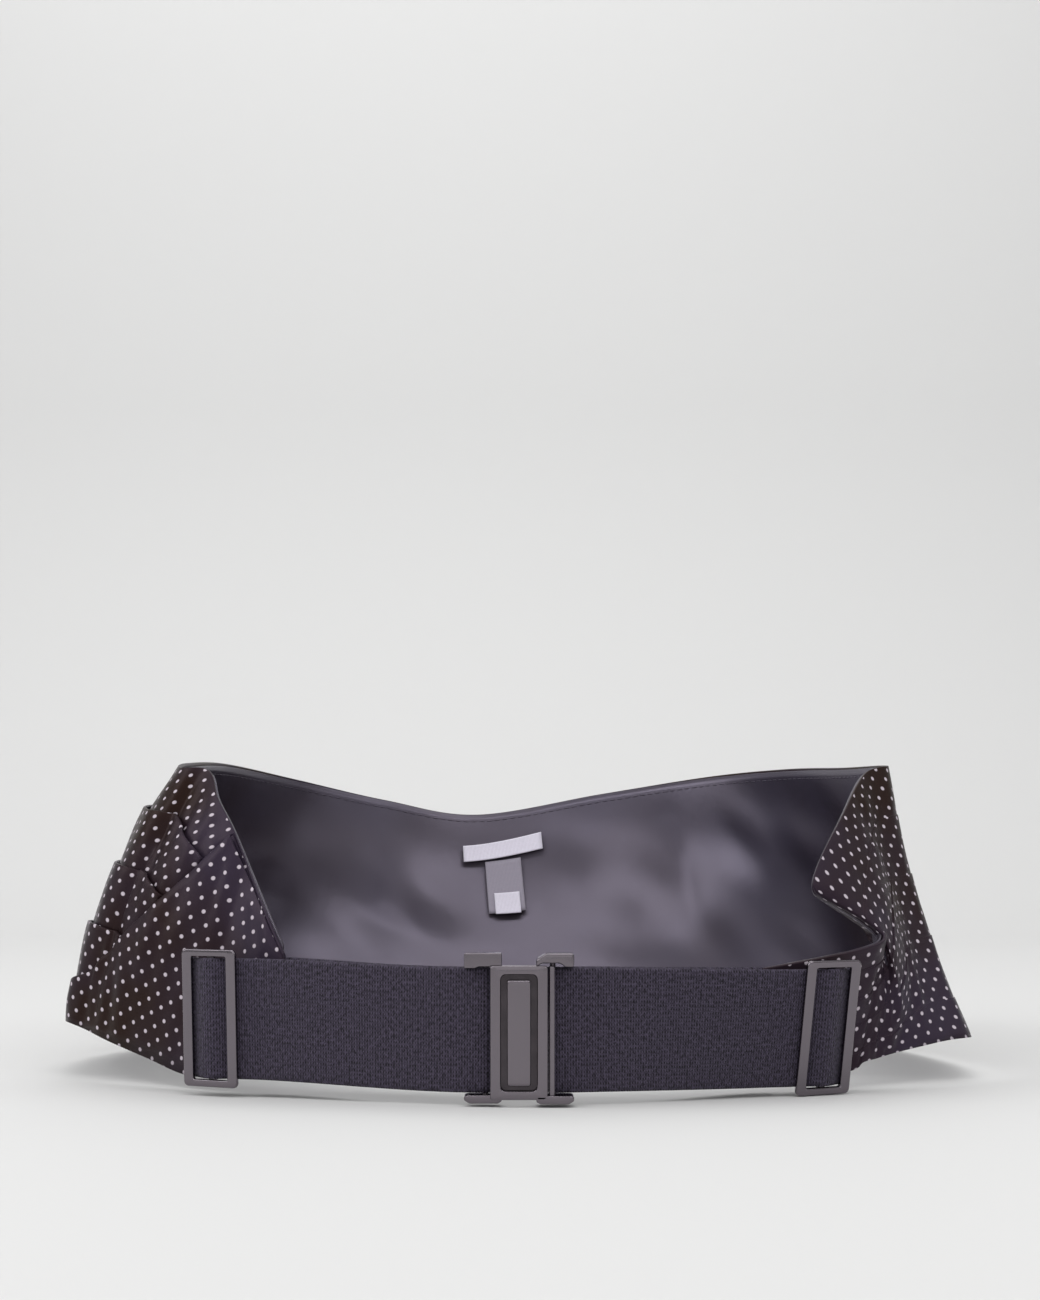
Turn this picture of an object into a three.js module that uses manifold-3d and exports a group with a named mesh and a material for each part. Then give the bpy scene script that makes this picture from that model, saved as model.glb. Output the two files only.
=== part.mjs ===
import * as THREE from 'three';
import { mergeVertices } from 'three/addons/utils/BufferGeometryUtils.js';
import Module from 'manifold-3d';

// Pleated cummerbund standing on its lower edge, closed at the back. Millimetres, +Z up.
// The back, with the elastic and its clasp, faces -Y; the pleated front is on the +Y side.

const wasm = await Module();
wasm.setup();

// Band, as it stands
const HALF_WIDTH = 170;
const DEPTH = 245;
const RISE = 110;
const FLOOR = 1.28;

// Cloth layers, measured out from the band's middle surface
const GAP = 0.3;
const LINING_THICK = 1.0;
const FRONT_THICK = 1.6;
const LINING_INSET = 0.012;
const PLEAT_STEP = 2.2;
const PLEAT_LIP = 0.012;
const PLEAT_EDGES = [0.14, 0.37, 0.6, 0.82];
const PLEAT_TOP_LIMIT = 0.965;
const PLEAT_GATHER = 0.03;

// Elastic
const STRAP_WIDTH = 38;
const STRAP_THICK = 1.4;
const STRAP_BOTTOM = 5.2;
const STRAP_SWEEP = 22;
const STRAP_SWEEP_POWER = 1.3;
const STRAP_LOOP_SPACING = 3.6;
const STRAP_STEPS = 12;
const LEFT_STRAP_LIFT = 1.8;
const RIGHT_STRAP_LIFT = -1.2;
const STRAP_SEWN_SETBACK = 7.4;
const STRAP_SETBACK_START = 45;
const STRAP_SETBACK_END = 9;
const STRAP_SEWN_OVERLAP = 5;
const STRAP_RUN_PAST_SLIDER = 1;
const STRAP_RUN_BEFORE_SLIDER = 6;
const STRAP_BEND_ROOM = 0.5;

// Adjusters
const SLIDER_WINDOW_CLEARANCE = 0.35;
const SLIDER_END_BAR = 2.35;
const SLIDER_HEIGHT = STRAP_WIDTH + 2 * (SLIDER_WINDOW_CLEARANCE + SLIDER_END_BAR);
const SLIDER_WIDTH = 19.4;
const SLIDER_THICK = 1.8;
const SLIDER_BAR = 3.5;
const SLIDER_CORNER = 1.6;
const SLIDER_YAW = 23;
const LEFT_PITCH = 2;
const RIGHT_PITCH = 10;
const SLIDER_CENTRE = 97;
const MIDDLE_BAR_WIDTH = 2.6;
const MIDDLE_BAR_THICK = 1.6;
const MIDDLE_BAR_SINK = 0.5;
const MIDDLE_BAR_INSET = 0.6;

// Clasp
const CLASP_BELOW_STRAP = 1.6;
const CLASP_ABOVE_STRAP = 0.8;
const CLASP_BOTTOM = STRAP_BOTTOM - CLASP_BELOW_STRAP;
const CLASP_HEIGHT = CLASP_BELOW_STRAP + STRAP_WIDTH + CLASP_ABOVE_STRAP;
const CLASP_WIDTH = 17.4;
const CLASP_PLATE_THICK = 1.6;
const CLASP_PLATE_FRONT = -5.2;
const CLASP_WINDOW_WIDTH = 10.9;
const CLASP_WINDOW_RIM = 2.7;
const CLASP_WINDOW_HEIGHT = CLASP_HEIGHT - 2 * CLASP_WINDOW_RIM;
const CLASP_WINDOW_CORNER = 1.6;
const TONGUE_WIDTH = 7.2;
const TONGUE_END_CLEARANCE = 1.5;
const TONGUE_HEIGHT = CLASP_WINDOW_HEIGHT - 2 * TONGUE_END_CLEARANCE;
const TONGUE_PROUD = 0.9;
const REAR_PLATE_THICK = 1.3;
const EAR_REACH = 16.6;
const EAR_INNER = 5.2;
const TOP_EAR_HEIGHT = 4.2;
const BOTTOM_EAR_HEIGHT = 2.6;
const EAR_OVERLAP = 0.5;
const RAIL_WIDTH = 1.8;
const RAIL_THICK = 1.4;
const CLASP_BAR_RADIUS = 0.9;
const CLASP_BAR_AT = 10.2;
const STRAP_TWIST_START = 6;

// Labels on the lining
const LABEL_THICK = 0.6;

// The band's sections from the left tip, round the pleated front, to the right tip. Lower edge and
// upper edge as shares of half width, depth and rise; bow is a share of the rise, out from the chord,
// highest at bowAt, and bend is the same but in a direction of its own.
const SECTIONS = [
  { low: [-0.430, 0.080, 0.075], high: [-0.430, 0.080, 0.418], bow: 0.00, bowAt: 0.5 },
  { low: [-0.535, 0.118, 0.059], high: [-0.465, 0.100, 0.527], bow: 0.00, bowAt: 0.5 },
  { low: [-0.626, 0.155, 0.055], high: [-0.507, 0.147, 0.652], bow: 0.02, bowAt: 0.5 },
  { low: [-0.715, 0.200, 0.094], high: [-0.547, 0.176, 0.780], bow: 0.04, bowAt: 0.5 },
  { low: [-0.805, 0.241, 0.137], high: [-0.583, 0.204, 0.872], bow: 0.05, bowAt: 0.5 },
  { low: [-0.864, 0.278, 0.166], high: [-0.607, 0.237, 0.953], bow: 0.04, bowAt: 0.5 },
  { low: [-0.909, 0.310, 0.182], high: [-0.670, 0.269, 0.962], bow: 0.04, bowAt: 0.5 },
  { low: [-0.941, 0.482, 0.138], high: [-0.698, 0.441, 0.993], bow: 0.05, bowAt: 0.5 },
  { low: [-0.865, 0.653, 0.076], high: [-0.668, 0.673, 1.016], bow: 0.04, bowAt: 0.5 },
  { low: [-0.659, 0.771, 0.023], high: [-0.541, 0.873, 0.979], bow: 0.05, bowAt: 0.5 },
  { low: [-0.376, 0.800, 0.012], high: [-0.335, 0.959, 0.909], bow: 0.06, bowAt: 0.5 },
  { low: [-0.059, 0.808, 0.010], high: [-0.106, 1.000, 0.855], bow: 0.06, bowAt: 0.5 },
  { low: [0.265, 0.804, 0.010], high: [0.212, 0.984, 0.936], bow: 0.06, bowAt: 0.5 },
  { low: [0.565, 0.776, 0.014], high: [0.471, 0.902, 0.995], bow: 0.05, bowAt: 0.5 },
  { low: [0.817, 0.682, 0.050], high: [0.632, 0.759, 1.008], bow: 0.03, bowAt: 0.5 },
  { low: [0.915, 0.449, 0.100], high: [0.719, 0.580, 0.996], bow: -0.02, bowAt: 0.5 },
  { low: [0.896, 0.278, 0.139], high: [0.764, 0.400, 0.985], bow: -0.03, bowAt: 0.5 },
  { low: [0.838, 0.237, 0.139], high: [0.705, 0.343, 0.954], bow: -0.02, bowAt: 0.5 },
  { low: [0.777, 0.212, 0.126], high: [0.646, 0.269, 0.834], bow: 0.00, bowAt: 0.6, bend: [0.05, 0, 0] },
  { low: [0.716, 0.188, 0.111], high: [0.559, 0.163, 0.607], bow: 0.00, bowAt: 0.68, bend: [0.145, 0.028, 0] },
  { low: [0.681, 0.176, 0.099], high: [0.651, 0.237, 0.528], bow: 0.00, bowAt: 0.74, bend: [0.067, -0.055, 0] },
  { low: [0.653, 0.163, 0.091], high: [0.696, 0.171, 0.465], bow: 0.00, bowAt: 0.55 },
  { low: [0.618, 0.156, 0.064], high: [0.635, 0.127, 0.427], bow: 0.00, bowAt: 0.5 },
  { low: [0.447, 0.098, 0.045], high: [0.447, 0.072, 0.380], bow: 0.00, bowAt: 0.5 },
];
const NO_BEND = [0, 0, 0];
const FLAP_TOP_AT = 2.3;
const FLAP_LOW_AT = 5.8;
const FRONT_CENTRE = 11.17;
const RIGHT_FLAT_FROM = [13.8, 13.8, 13.8, 15.2];
const RIGHT_FLAT_RUN = 1.8;
const LEFT_FLAT_TO = 1.5;
const LEFT_PLEATED_FROM = 3;
const COLUMNS_PER_SECTION = 3;

const colours = {
  satin: { color: 0x35292c, roughness: 0.42, metalness: 0.0 },
  lining: { color: 0x2a2633, roughness: 0.38, metalness: 0.0 },
  label: { color: 0xb9b4c6, roughness: 0.7, metalness: 0.0 },
  tab: { color: 0x6f6979, roughness: 0.7, metalness: 0.0 },
  elastic: { color: 0x312e38, roughness: 0.85, metalness: 0.0 },
  gunmetal: { color: 0x5c565e, roughness: 0.22, metalness: 0.9 },
};

const model = new THREE.Group();

function addMesh(name, geometry, look) {
  const mesh = new THREE.Mesh(geometry, new THREE.MeshStandardMaterial(look));
  mesh.name = name;
  model.add(mesh);
  return mesh;
}

// A smooth value along the table, for a section position that need not be whole.
function alongTable(position, read) {
  const last = SECTIONS.length - 1;
  const i = Math.min(Math.floor(position), last - 1);
  const t = position - i;
  const [a, b, c, d] = [i - 1, i, i + 1, i + 2].map((k) => read(SECTIONS[Math.max(0, Math.min(last, k))]));
  const rise = 0.5 * (c - a);
  const fall = 0.5 * (d - b);
  return (2 * t ** 3 - 3 * t ** 2 + 1) * b + (t ** 3 - 2 * t ** 2 + t) * rise
    + (-2 * t ** 3 + 3 * t ** 2) * c + (t ** 3 - t ** 2) * fall;
}

function edgePoint(position, edge) {
  return new THREE.Vector3(
    HALF_WIDTH * alongTable(position, (s) => s[edge][0]),
    DEPTH * alongTable(position, (s) => s[edge][1]),
    Math.max(FLOOR, RISE * alongTable(position, (s) => s[edge][2])),
  );
}

// Share of the bow reached at a share of the height, highest at peak.
function bowShape(share, peak) {
  if (share < peak) {
    return Math.sin((Math.PI / 2) * (share / peak));
  }
  return Math.cos((Math.PI / 2) * ((share - peak) / (1 - peak)));
}

function middlePoint(position, share) {
  const step = 0.05;
  const last = SECTIONS.length - 1;
  const low = edgePoint(position, 'low');
  const high = edgePoint(position, 'high');
  const before = edgePoint(Math.max(0, position - step), 'low').add(edgePoint(Math.max(0, position - step), 'high'));
  const after = edgePoint(Math.min(last, position + step), 'low').add(edgePoint(Math.min(last, position + step), 'high'));
  const chord = high.clone().sub(low);
  const outward = chord.clone().cross(after.sub(before)).normalize();
  const bow = RISE * alongTable(position, (s) => s.bow);
  const shape = bowShape(share, alongTable(position, (s) => s.bowAt));
  const bend = new THREE.Vector3(...[0, 1, 2].map((k) => RISE * alongTable(position, (s) => (s.bend ?? NO_BEND)[k])));
  return low.addScaledVector(chord, share).addScaledVector(outward, bow * shape).addScaledVector(bend, shape);
}

// A point of the band set out from the middle surface by an offset, inwards when negative.
function bandPoint(position, share, offset) {
  const last = SECTIONS.length - 1;
  const alongStep = 1;
  const upStep = 0.1;
  const p0 = Math.max(0, position - alongStep);
  const p1 = Math.min(last, position + alongStep);
  const s0 = Math.max(0, share - upStep);
  const s1 = Math.min(1, share + upStep);
  const along = middlePoint(p1, share).sub(middlePoint(p0, share));
  const up = middlePoint(position, s1).sub(middlePoint(position, s0));
  const outward = up.cross(along).normalize();
  if (share === 0) {
    // The lower hem lies flat on what it stands on.
    outward.setZ(0).normalize();
  }
  return middlePoint(position, share).addScaledVector(outward, offset);
}

function ramp(value, from, to) {
  const t = Math.max(0, Math.min(1, (value - from) / (to - from)));
  return t * t * (3 - 2 * t);
}

// On the left end the lowest pleat climbs to the upper edge, as a flap folded over those above it.
function flapEdge(position) {
  const climb = 1 - ramp(position, FLAP_TOP_AT, FLAP_LOW_AT);
  const limit = PLEAT_TOP_LIMIT - PLEAT_GATHER * (PLEAT_EDGES.length - 1);
  return PLEAT_EDGES[0] + (limit - PLEAT_EDGES[0]) * climb;
}

function pleatEdge(index, position) {
  return Math.max(PLEAT_EDGES[index], flapEdge(position) + PLEAT_GATHER * index);
}

// Pleats run out flat before the tips, and where they go under the flap.
function pleatStep(index, position) {
  const clearOfFlap = ramp(PLEAT_EDGES[index] - flapEdge(position), 0, 2 * PLEAT_GATHER);
  const left = index === 0 ? ramp(position, LEFT_FLAT_TO, LEFT_PLEATED_FROM) : clearOfFlap;
  const right = RIGHT_FLAT_FROM[index];
  return PLEAT_STEP * left * (1 - ramp(position, right, right + RIGHT_FLAT_RUN));
}

// Rows up the front face: each pleat swells to its upper edge, then drops back to the cloth below.
function frontRows(position) {
  const rows = [{ share: 0, swell: 0 }];
  PLEAT_EDGES.forEach((_, index) => {
    const edge = pleatEdge(index, position);
    const step = pleatStep(index, position);
    const previous = index === 0 ? 0 : pleatEdge(index - 1, position) + PLEAT_LIP;
    rows.push({ share: (previous + edge) / 2, swell: step / 2 });
    rows.push({ share: edge, swell: step });
    rows.push({ share: edge + PLEAT_LIP, swell: 0 });
  });
  rows.push({ share: 1, swell: 0 });
  return rows;
}

// Closes a sheet between an inner and an outer grid of points: grid[column][row].
function sheetBetween(inner, outer) {
  const columns = inner.length;
  const rows = inner[0].length;
  const vertices = [];
  const faces = [];
  inner.flat().forEach((p) => vertices.push(p.x, p.y, p.z));
  outer.flat().forEach((p) => vertices.push(p.x, p.y, p.z));
  const half = columns * rows;
  const at = (c, r) => c * rows + r;
  const quad = (a, b, c, d) => faces.push(a, b, c, a, c, d);
  for (let c = 0; c < columns - 1; c += 1) {
    for (let r = 0; r < rows - 1; r += 1) {
      quad(at(c, r), at(c + 1, r), at(c + 1, r + 1), at(c, r + 1));
      quad(half + at(c, r), half + at(c, r + 1), half + at(c + 1, r + 1), half + at(c + 1, r));
    }
    quad(at(c, 0), half + at(c, 0), half + at(c + 1, 0), at(c + 1, 0));
    quad(at(c + 1, rows - 1), half + at(c + 1, rows - 1), half + at(c, rows - 1), at(c, rows - 1));
  }
  for (let r = 0; r < rows - 1; r += 1) {
    quad(at(0, r + 1), half + at(0, r + 1), half + at(0, r), at(0, r));
    quad(at(columns - 1, r), half + at(columns - 1, r), half + at(columns - 1, r + 1), at(columns - 1, r + 1));
  }
  const geometry = new THREE.BufferGeometry();
  geometry.setAttribute('position', new THREE.Float32BufferAttribute(vertices, 3));
  geometry.setIndex(faces);
  return geometry;
}

function columnPositions(from, to, perSection) {
  const count = Math.max(2, Math.round((to - from) * perSection));
  return Array.from({ length: count + 1 }, (_, i) => from + ((to - from) * i) / count);
}

function pleatedFront() {
  const positions = columnPositions(0, SECTIONS.length - 1, COLUMNS_PER_SECTION);
  const face = GAP / 2;
  const inner = positions.map((p) => frontRows(p).map((row) => bandPoint(p, row.share, face)));
  const outer = positions.map((p) => frontRows(p).map((row) => bandPoint(p, row.share, face + FRONT_THICK + row.swell)));
  return sheetBetween(inner, outer);
}

// The lining has the front's own columns and rows, drawn in a little from every edge.
function lining() {
  const positions = columnPositions(0, SECTIONS.length - 1, COLUMNS_PER_SECTION).slice(1, -1);
  const inset = (share) => Math.max(LINING_INSET, Math.min(1 - LINING_INSET, share));
  const layer = (offset) => positions.map((p) => frontRows(p).map((row) => bandPoint(p, inset(row.share), offset)));
  return sheetBetween(layer(-GAP / 2 - LINING_THICK), layer(-GAP / 2));
}

// A flat label lying on the lining; its lower edge climbs along the band by tilt.
function labelOn(centre, halfLength, lowShare, highShare, tilt, depth) {
  const positions = columnPositions(centre - halfLength, centre + halfLength, 8);
  const layer = (offset) => positions.map((p) => [lowShare, (lowShare + highShare) / 2, highShare]
    .map((share) => bandPoint(p, share + tilt * (p - centre), offset)));
  const top = -GAP / 2 - LINING_THICK - depth;
  return sheetBetween(layer(top - LABEL_THICK), layer(top));
}

function toManifold(geometry) {
  const bare = geometry.clone();
  bare.deleteAttribute('normal');
  bare.deleteAttribute('uv');
  const merged = mergeVertices(bare, 1e-4);
  return new wasm.Manifold(new wasm.Mesh({
    numProp: 3,
    vertProperties: new Float32Array(merged.attributes.position.array),
    triVerts: new Uint32Array(merged.index.array),
  }));
}

function fromManifold(solid) {
  const mesh = solid.getMesh();
  const geometry = new THREE.BufferGeometry();
  geometry.setAttribute('position', new THREE.BufferAttribute(new Float32Array(mesh.vertProperties), 3));
  geometry.setIndex(new THREE.BufferAttribute(new Uint32Array(mesh.triVerts), 1));
  return geometry;
}

function joined(geometries) {
  return fromManifold(geometries.map(toManifold).reduce((sum, part) => sum.add(part)));
}

function roundedRectangle(width, height, corner, cx = 0, cy = 0) {
  const shape = new THREE.Shape();
  const x = cx - width / 2;
  const y = cy - height / 2;
  shape.moveTo(x + corner, y);
  shape.lineTo(x + width - corner, y);
  shape.absarc(x + width - corner, y + corner, corner, -Math.PI / 2, 0);
  shape.lineTo(x + width, y + height - corner);
  shape.absarc(x + width - corner, y + height - corner, corner, 0, Math.PI / 2);
  shape.lineTo(x + corner, y + height);
  shape.absarc(x + corner, y + height - corner, corner, Math.PI / 2, Math.PI);
  shape.lineTo(x, y + corner);
  shape.absarc(x + corner, y + corner, corner, Math.PI, 1.5 * Math.PI);
  return shape;
}

// Stands a plate drawn in width and height upright, its front face at the given y.
function uprightPlate(shape, thick, front) {
  const geometry = new THREE.ExtrudeGeometry(shape, { depth: thick, bevelEnabled: false, curveSegments: 4 });
  geometry.rotateX(Math.PI / 2);
  geometry.translate(0, front + thick, 0);
  return geometry;
}

function box(x0, x1, y0, y1, z0, z1) {
  const geometry = new THREE.BoxGeometry(x1 - x0, y1 - y0, z1 - z0);
  geometry.translate((x0 + x1) / 2, (y0 + y1) / 2, (z0 + z1) / 2);
  return geometry;
}

// Where the elastic's middle lies behind the clasp's front, at a distance out from the centre.
function sweepAt(out) {
  const reach = SLIDER_CENTRE - CLASP_BAR_AT;
  return STRAP_SWEEP * (Math.max(0, out - CLASP_BAR_AT) / reach) ** STRAP_SWEEP_POWER;
}

const SLIDER_SEAT = SLIDER_THICK / 2 + GAP + STRAP_THICK / 2;
const sliderPlane = () => sweepAt(SLIDER_CENTRE) - SLIDER_SEAT;
const bridgeDepth = SLIDER_THICK / 2 - MIDDLE_BAR_SINK - GAP - STRAP_THICK / 2;

// The elastic's way through an adjuster: behind the near bar, over the middle bar, behind the far bar.
function sliderRun() {
  const innerEdge = SLIDER_WIDTH / 2 - SLIDER_BAR;
  const over = MIDDLE_BAR_WIDTH / 2 + STRAP_BEND_ROOM;
  return [
    [-SLIDER_WIDTH / 2 - STRAP_RUN_PAST_SLIDER, SLIDER_SEAT],
    [-innerEdge + STRAP_BEND_ROOM, SLIDER_SEAT],
    [-over, bridgeDepth],
    [over, bridgeDepth],
    [innerEdge - STRAP_BEND_ROOM, SLIDER_SEAT],
    [SLIDER_WIDTH / 2 - STRAP_RUN_PAST_SLIDER, SLIDER_SEAT],
  ];
}

// The elastic's middle line seen from above, for the right side: from its sewn end on the band's tip,
// along the back, round the clasp's bar and out again to the adjuster.
function strapLine() {
  const line = [];
  const tip = HALF_WIDTH * SECTIONS.at(-1).low[0] + STRAP_SEWN_OVERLAP;
  const loopRadius = STRAP_LOOP_SPACING / 2;
  const innerLayer = (out) => {
    const near = sweepAt(out) + STRAP_LOOP_SPACING;
    const away = ramp(out, tip - STRAP_SETBACK_START, tip - STRAP_SETBACK_END);
    return near + STRAP_SEWN_SETBACK * away;
  };
  for (let i = 0; i <= STRAP_STEPS; i += 1) {
    const out = tip - ((tip - CLASP_BAR_AT) * i) / STRAP_STEPS;
    line.push([out, innerLayer(out)]);
  }
  for (let i = 1; i < 8; i += 1) {
    const turn = (Math.PI * i) / 8;
    line.push([CLASP_BAR_AT - loopRadius * Math.sin(turn), loopRadius + loopRadius * Math.cos(turn)]);
  }
  const yaw = THREE.MathUtils.degToRad(SLIDER_YAW);
  const seated = sliderRun().map(([u, v]) => [
    SLIDER_CENTRE + u * Math.cos(yaw) - v * Math.sin(yaw),
    sliderPlane() + u * Math.sin(yaw) + v * Math.cos(yaw),
  ]);
  const arrive = seated[0][0] - STRAP_RUN_BEFORE_SLIDER;
  for (let i = 0; i <= STRAP_STEPS; i += 1) {
    const out = CLASP_BAR_AT + ((arrive - CLASP_BAR_AT) * i) / STRAP_STEPS;
    line.push([out, sweepAt(out)]);
  }
  return line.concat(seated);
}

// Widens a line into a closed ribbon outline, mitred at its bends.
function ribbonShape(line, thick) {
  const left = [];
  const right = [];
  line.forEach(([x, y], i) => {
    const [ax, ay] = line[Math.max(0, i - 1)];
    const [bx, by] = line[Math.min(line.length - 1, i + 1)];
    const before = new THREE.Vector2(x - ax, y - ay).normalize();
    const after = new THREE.Vector2(bx - x, by - y).normalize();
    const way = before.clone().add(after).normalize();
    const reference = before.lengthSq() > 0 ? before : after;
    const cosine = Math.max(0.5, way.dot(reference));
    const reach = thick / 2 / cosine;
    left.push(new THREE.Vector2(x - way.y * reach, y + way.x * reach));
    right.push(new THREE.Vector2(x + way.y * reach, y - way.x * reach));
  });
  return new THREE.Shape(left.concat(right.reverse()));
}

// Which way an adjuster's upright edges point, on the right side, once it is turned and pitched.
function uprightOf(pitch) {
  const yaw = THREE.MathUtils.degToRad(SLIDER_YAW);
  return new THREE.Vector3(0, -Math.sin(pitch), Math.cos(pitch)).applyAxisAngle(new THREE.Vector3(0, 0, 1), yaw);
}

// side is -1 for the left elastic and 1 for the right one; it twists from the clasp to its adjuster.
function strap(side, lift, pitch) {
  const outline = ribbonShape(strapLine(), STRAP_THICK);
  const geometry = new THREE.ExtrudeGeometry(outline, { depth: STRAP_WIDTH, bevelEnabled: false });
  const place = geometry.attributes.position;
  const upright = new THREE.Vector3(0, 0, 1);
  const twisted = uprightOf(pitch);
  const middle = STRAP_BOTTOM + STRAP_WIDTH / 2;
  for (let i = 0; i < place.count; i += 1) {
    const out = place.getX(i);
    const rise = place.getZ(i) - STRAP_WIDTH / 2;
    const share = ramp(out, CLASP_BAR_AT + STRAP_TWIST_START, SLIDER_CENTRE - SLIDER_WIDTH / 2 - STRAP_RUN_PAST_SLIDER);
    const edge = upright.clone().lerp(twisted, share).multiplyScalar(rise);
    place.setXYZ(i, out + edge.x, place.getY(i) + edge.y, middle + edge.z + lift * share);
  }
  if (side < 0) {
    geometry.scale(-1, 1, 1);
    flipFaces(geometry);
  }
  return geometry;
}

function flipFaces(geometry) {
  const place = geometry.attributes.position;
  const hold = new THREE.Vector3();
  const other = new THREE.Vector3();
  for (let i = 0; i < place.count; i += 3) {
    hold.fromBufferAttribute(place, i);
    other.fromBufferAttribute(place, i + 2);
    place.setXYZ(i, other.x, other.y, other.z);
    place.setXYZ(i + 2, hold.x, hold.y, hold.z);
  }
}

function slider(side, lift, pitch) {
  const windowHeight = STRAP_WIDTH + 2 * SLIDER_WINDOW_CLEARANCE;
  const frame = roundedRectangle(SLIDER_WIDTH, SLIDER_HEIGHT, SLIDER_CORNER);
  frame.holes.push(roundedRectangle(SLIDER_WIDTH - 2 * SLIDER_BAR, windowHeight, SLIDER_CORNER / 4));
  const plate = uprightPlate(frame, SLIDER_THICK, -SLIDER_THICK / 2);
  const half = MIDDLE_BAR_WIDTH / 2;
  const top = SLIDER_HEIGHT / 2 - MIDDLE_BAR_INSET;
  const barFront = SLIDER_THICK / 2 - MIDDLE_BAR_SINK;
  const bar = box(-half, half, barFront, barFront + MIDDLE_BAR_THICK, -top, top);
  const geometry = joined([plate, bar]);
  geometry.rotateX(pitch);
  geometry.rotateZ(side * THREE.MathUtils.degToRad(SLIDER_YAW));
  geometry.translate(side * SLIDER_CENTRE, sliderPlane(), STRAP_BOTTOM + STRAP_WIDTH / 2 + lift);
  return geometry;
}

// The plates sit in front of the elastic; ears at top and bottom carry a bar inside each elastic loop.
function claspHalf(side, plates, earFront) {
  const span = (a, b) => [Math.min(side * a, side * b), Math.max(side * a, side * b)];
  const earBack = STRAP_LOOP_SPACING / 2 + CLASP_BAR_RADIUS;
  const ear = (z0, z1) => box(...span(EAR_INNER, EAR_REACH), earFront, earBack, z0, z1);
  const barLength = earHigh - earLow + BOTTOM_EAR_HEIGHT;
  const bar = new THREE.CylinderGeometry(CLASP_BAR_RADIUS, CLASP_BAR_RADIUS, barLength, 12);
  bar.rotateX(Math.PI / 2);
  bar.translate(side * CLASP_BAR_AT, STRAP_LOOP_SPACING / 2, (earLow + earHigh) / 2);
  const topEar = ear(earHigh, earHigh + TOP_EAR_HEIGHT);
  const bottomEar = ear(earLow - BOTTOM_EAR_HEIGHT, earLow);
  return joined([...plates, topEar, bottomEar, bar]);
}

const plateMiddle = CLASP_BOTTOM + CLASP_HEIGHT / 2;
const earLow = STRAP_BOTTOM - GAP;
const earHigh = STRAP_BOTTOM + STRAP_WIDTH + GAP;

function claspEye() {
  const plate = roundedRectangle(CLASP_WIDTH, CLASP_HEIGHT, CLASP_WINDOW_CORNER / 2, 0, plateMiddle);
  plate.holes.push(roundedRectangle(CLASP_WINDOW_WIDTH, CLASP_WINDOW_HEIGHT, CLASP_WINDOW_CORNER, 0, plateMiddle));
  const railStart = CLASP_WIDTH / 2 + GAP;
  const railFront = CLASP_PLATE_FRONT + RAIL_THICK;
  const railEnds = [earLow - EAR_OVERLAP, earHigh + EAR_OVERLAP];
  const rail = box(railStart, railStart + RAIL_WIDTH, railFront, railFront + RAIL_THICK, ...railEnds);
  return claspHalf(1, [uprightPlate(plate, CLASP_PLATE_THICK, CLASP_PLATE_FRONT), rail], CLASP_PLATE_FRONT);
}

function claspHook() {
  const rearFront = CLASP_PLATE_FRONT + CLASP_PLATE_THICK + GAP;
  const tongueFront = CLASP_PLATE_FRONT - TONGUE_PROUD;
  const rearEnds = [earLow - EAR_OVERLAP, earHigh + EAR_OVERLAP];
  const rear = box(-CLASP_WIDTH / 2, EAR_INNER, rearFront, rearFront + REAR_PLATE_THICK, ...rearEnds);
  const tongueShape = roundedRectangle(TONGUE_WIDTH, TONGUE_HEIGHT, 0.8, 0, plateMiddle);
  const tongue = uprightPlate(tongueShape, rearFront + REAR_PLATE_THICK / 2 - tongueFront, tongueFront);
  return claspHalf(-1, [rear, tongue], rearFront);
}

const leftPitch = THREE.MathUtils.degToRad(LEFT_PITCH);
const rightPitch = THREE.MathUtils.degToRad(RIGHT_PITCH);

addMesh('pleated_front', pleatedFront(), colours.satin);
addMesh('lining', lining(), colours.lining);
addMesh('size_tab', labelOn(FRONT_CENTRE, 0.16, 0.53, 0.76, 0, GAP), colours.tab);
addMesh('woven_label', labelOn(FRONT_CENTRE, 0.28, 0.79, 0.87, 0.02, GAP), colours.label);
addMesh('care_tab', labelOn(FRONT_CENTRE + 0.02, 0.1, 0.53, 0.64, 0, 2 * GAP + LABEL_THICK), colours.label);
addMesh('strap_left', strap(-1, LEFT_STRAP_LIFT, leftPitch), colours.elastic);
addMesh('strap_right', strap(1, RIGHT_STRAP_LIFT, rightPitch), colours.elastic);
addMesh('slider_left', slider(-1, LEFT_STRAP_LIFT, leftPitch), colours.gunmetal);
addMesh('slider_right', slider(1, RIGHT_STRAP_LIFT, rightPitch), colours.gunmetal);
addMesh('clasp_hook', claspHook(), colours.gunmetal);
addMesh('clasp_eye', claspEye(), colours.gunmetal);

// The origin is the middle of the footprint, on the floor.
model.updateMatrixWorld(true);
const extent = new THREE.Box3().setFromObject(model, true);
model.position.set(-(extent.min.x + extent.max.x) / 2, -(extent.min.y + extent.max.y) / 2, -extent.min.z);

export default model;
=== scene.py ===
import math
import bmesh
import bpy
import numpy as np
from bpy.props import FloatProperty, FloatVectorProperty, IntProperty, PointerProperty
from mathutils import Matrix, Vector


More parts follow.
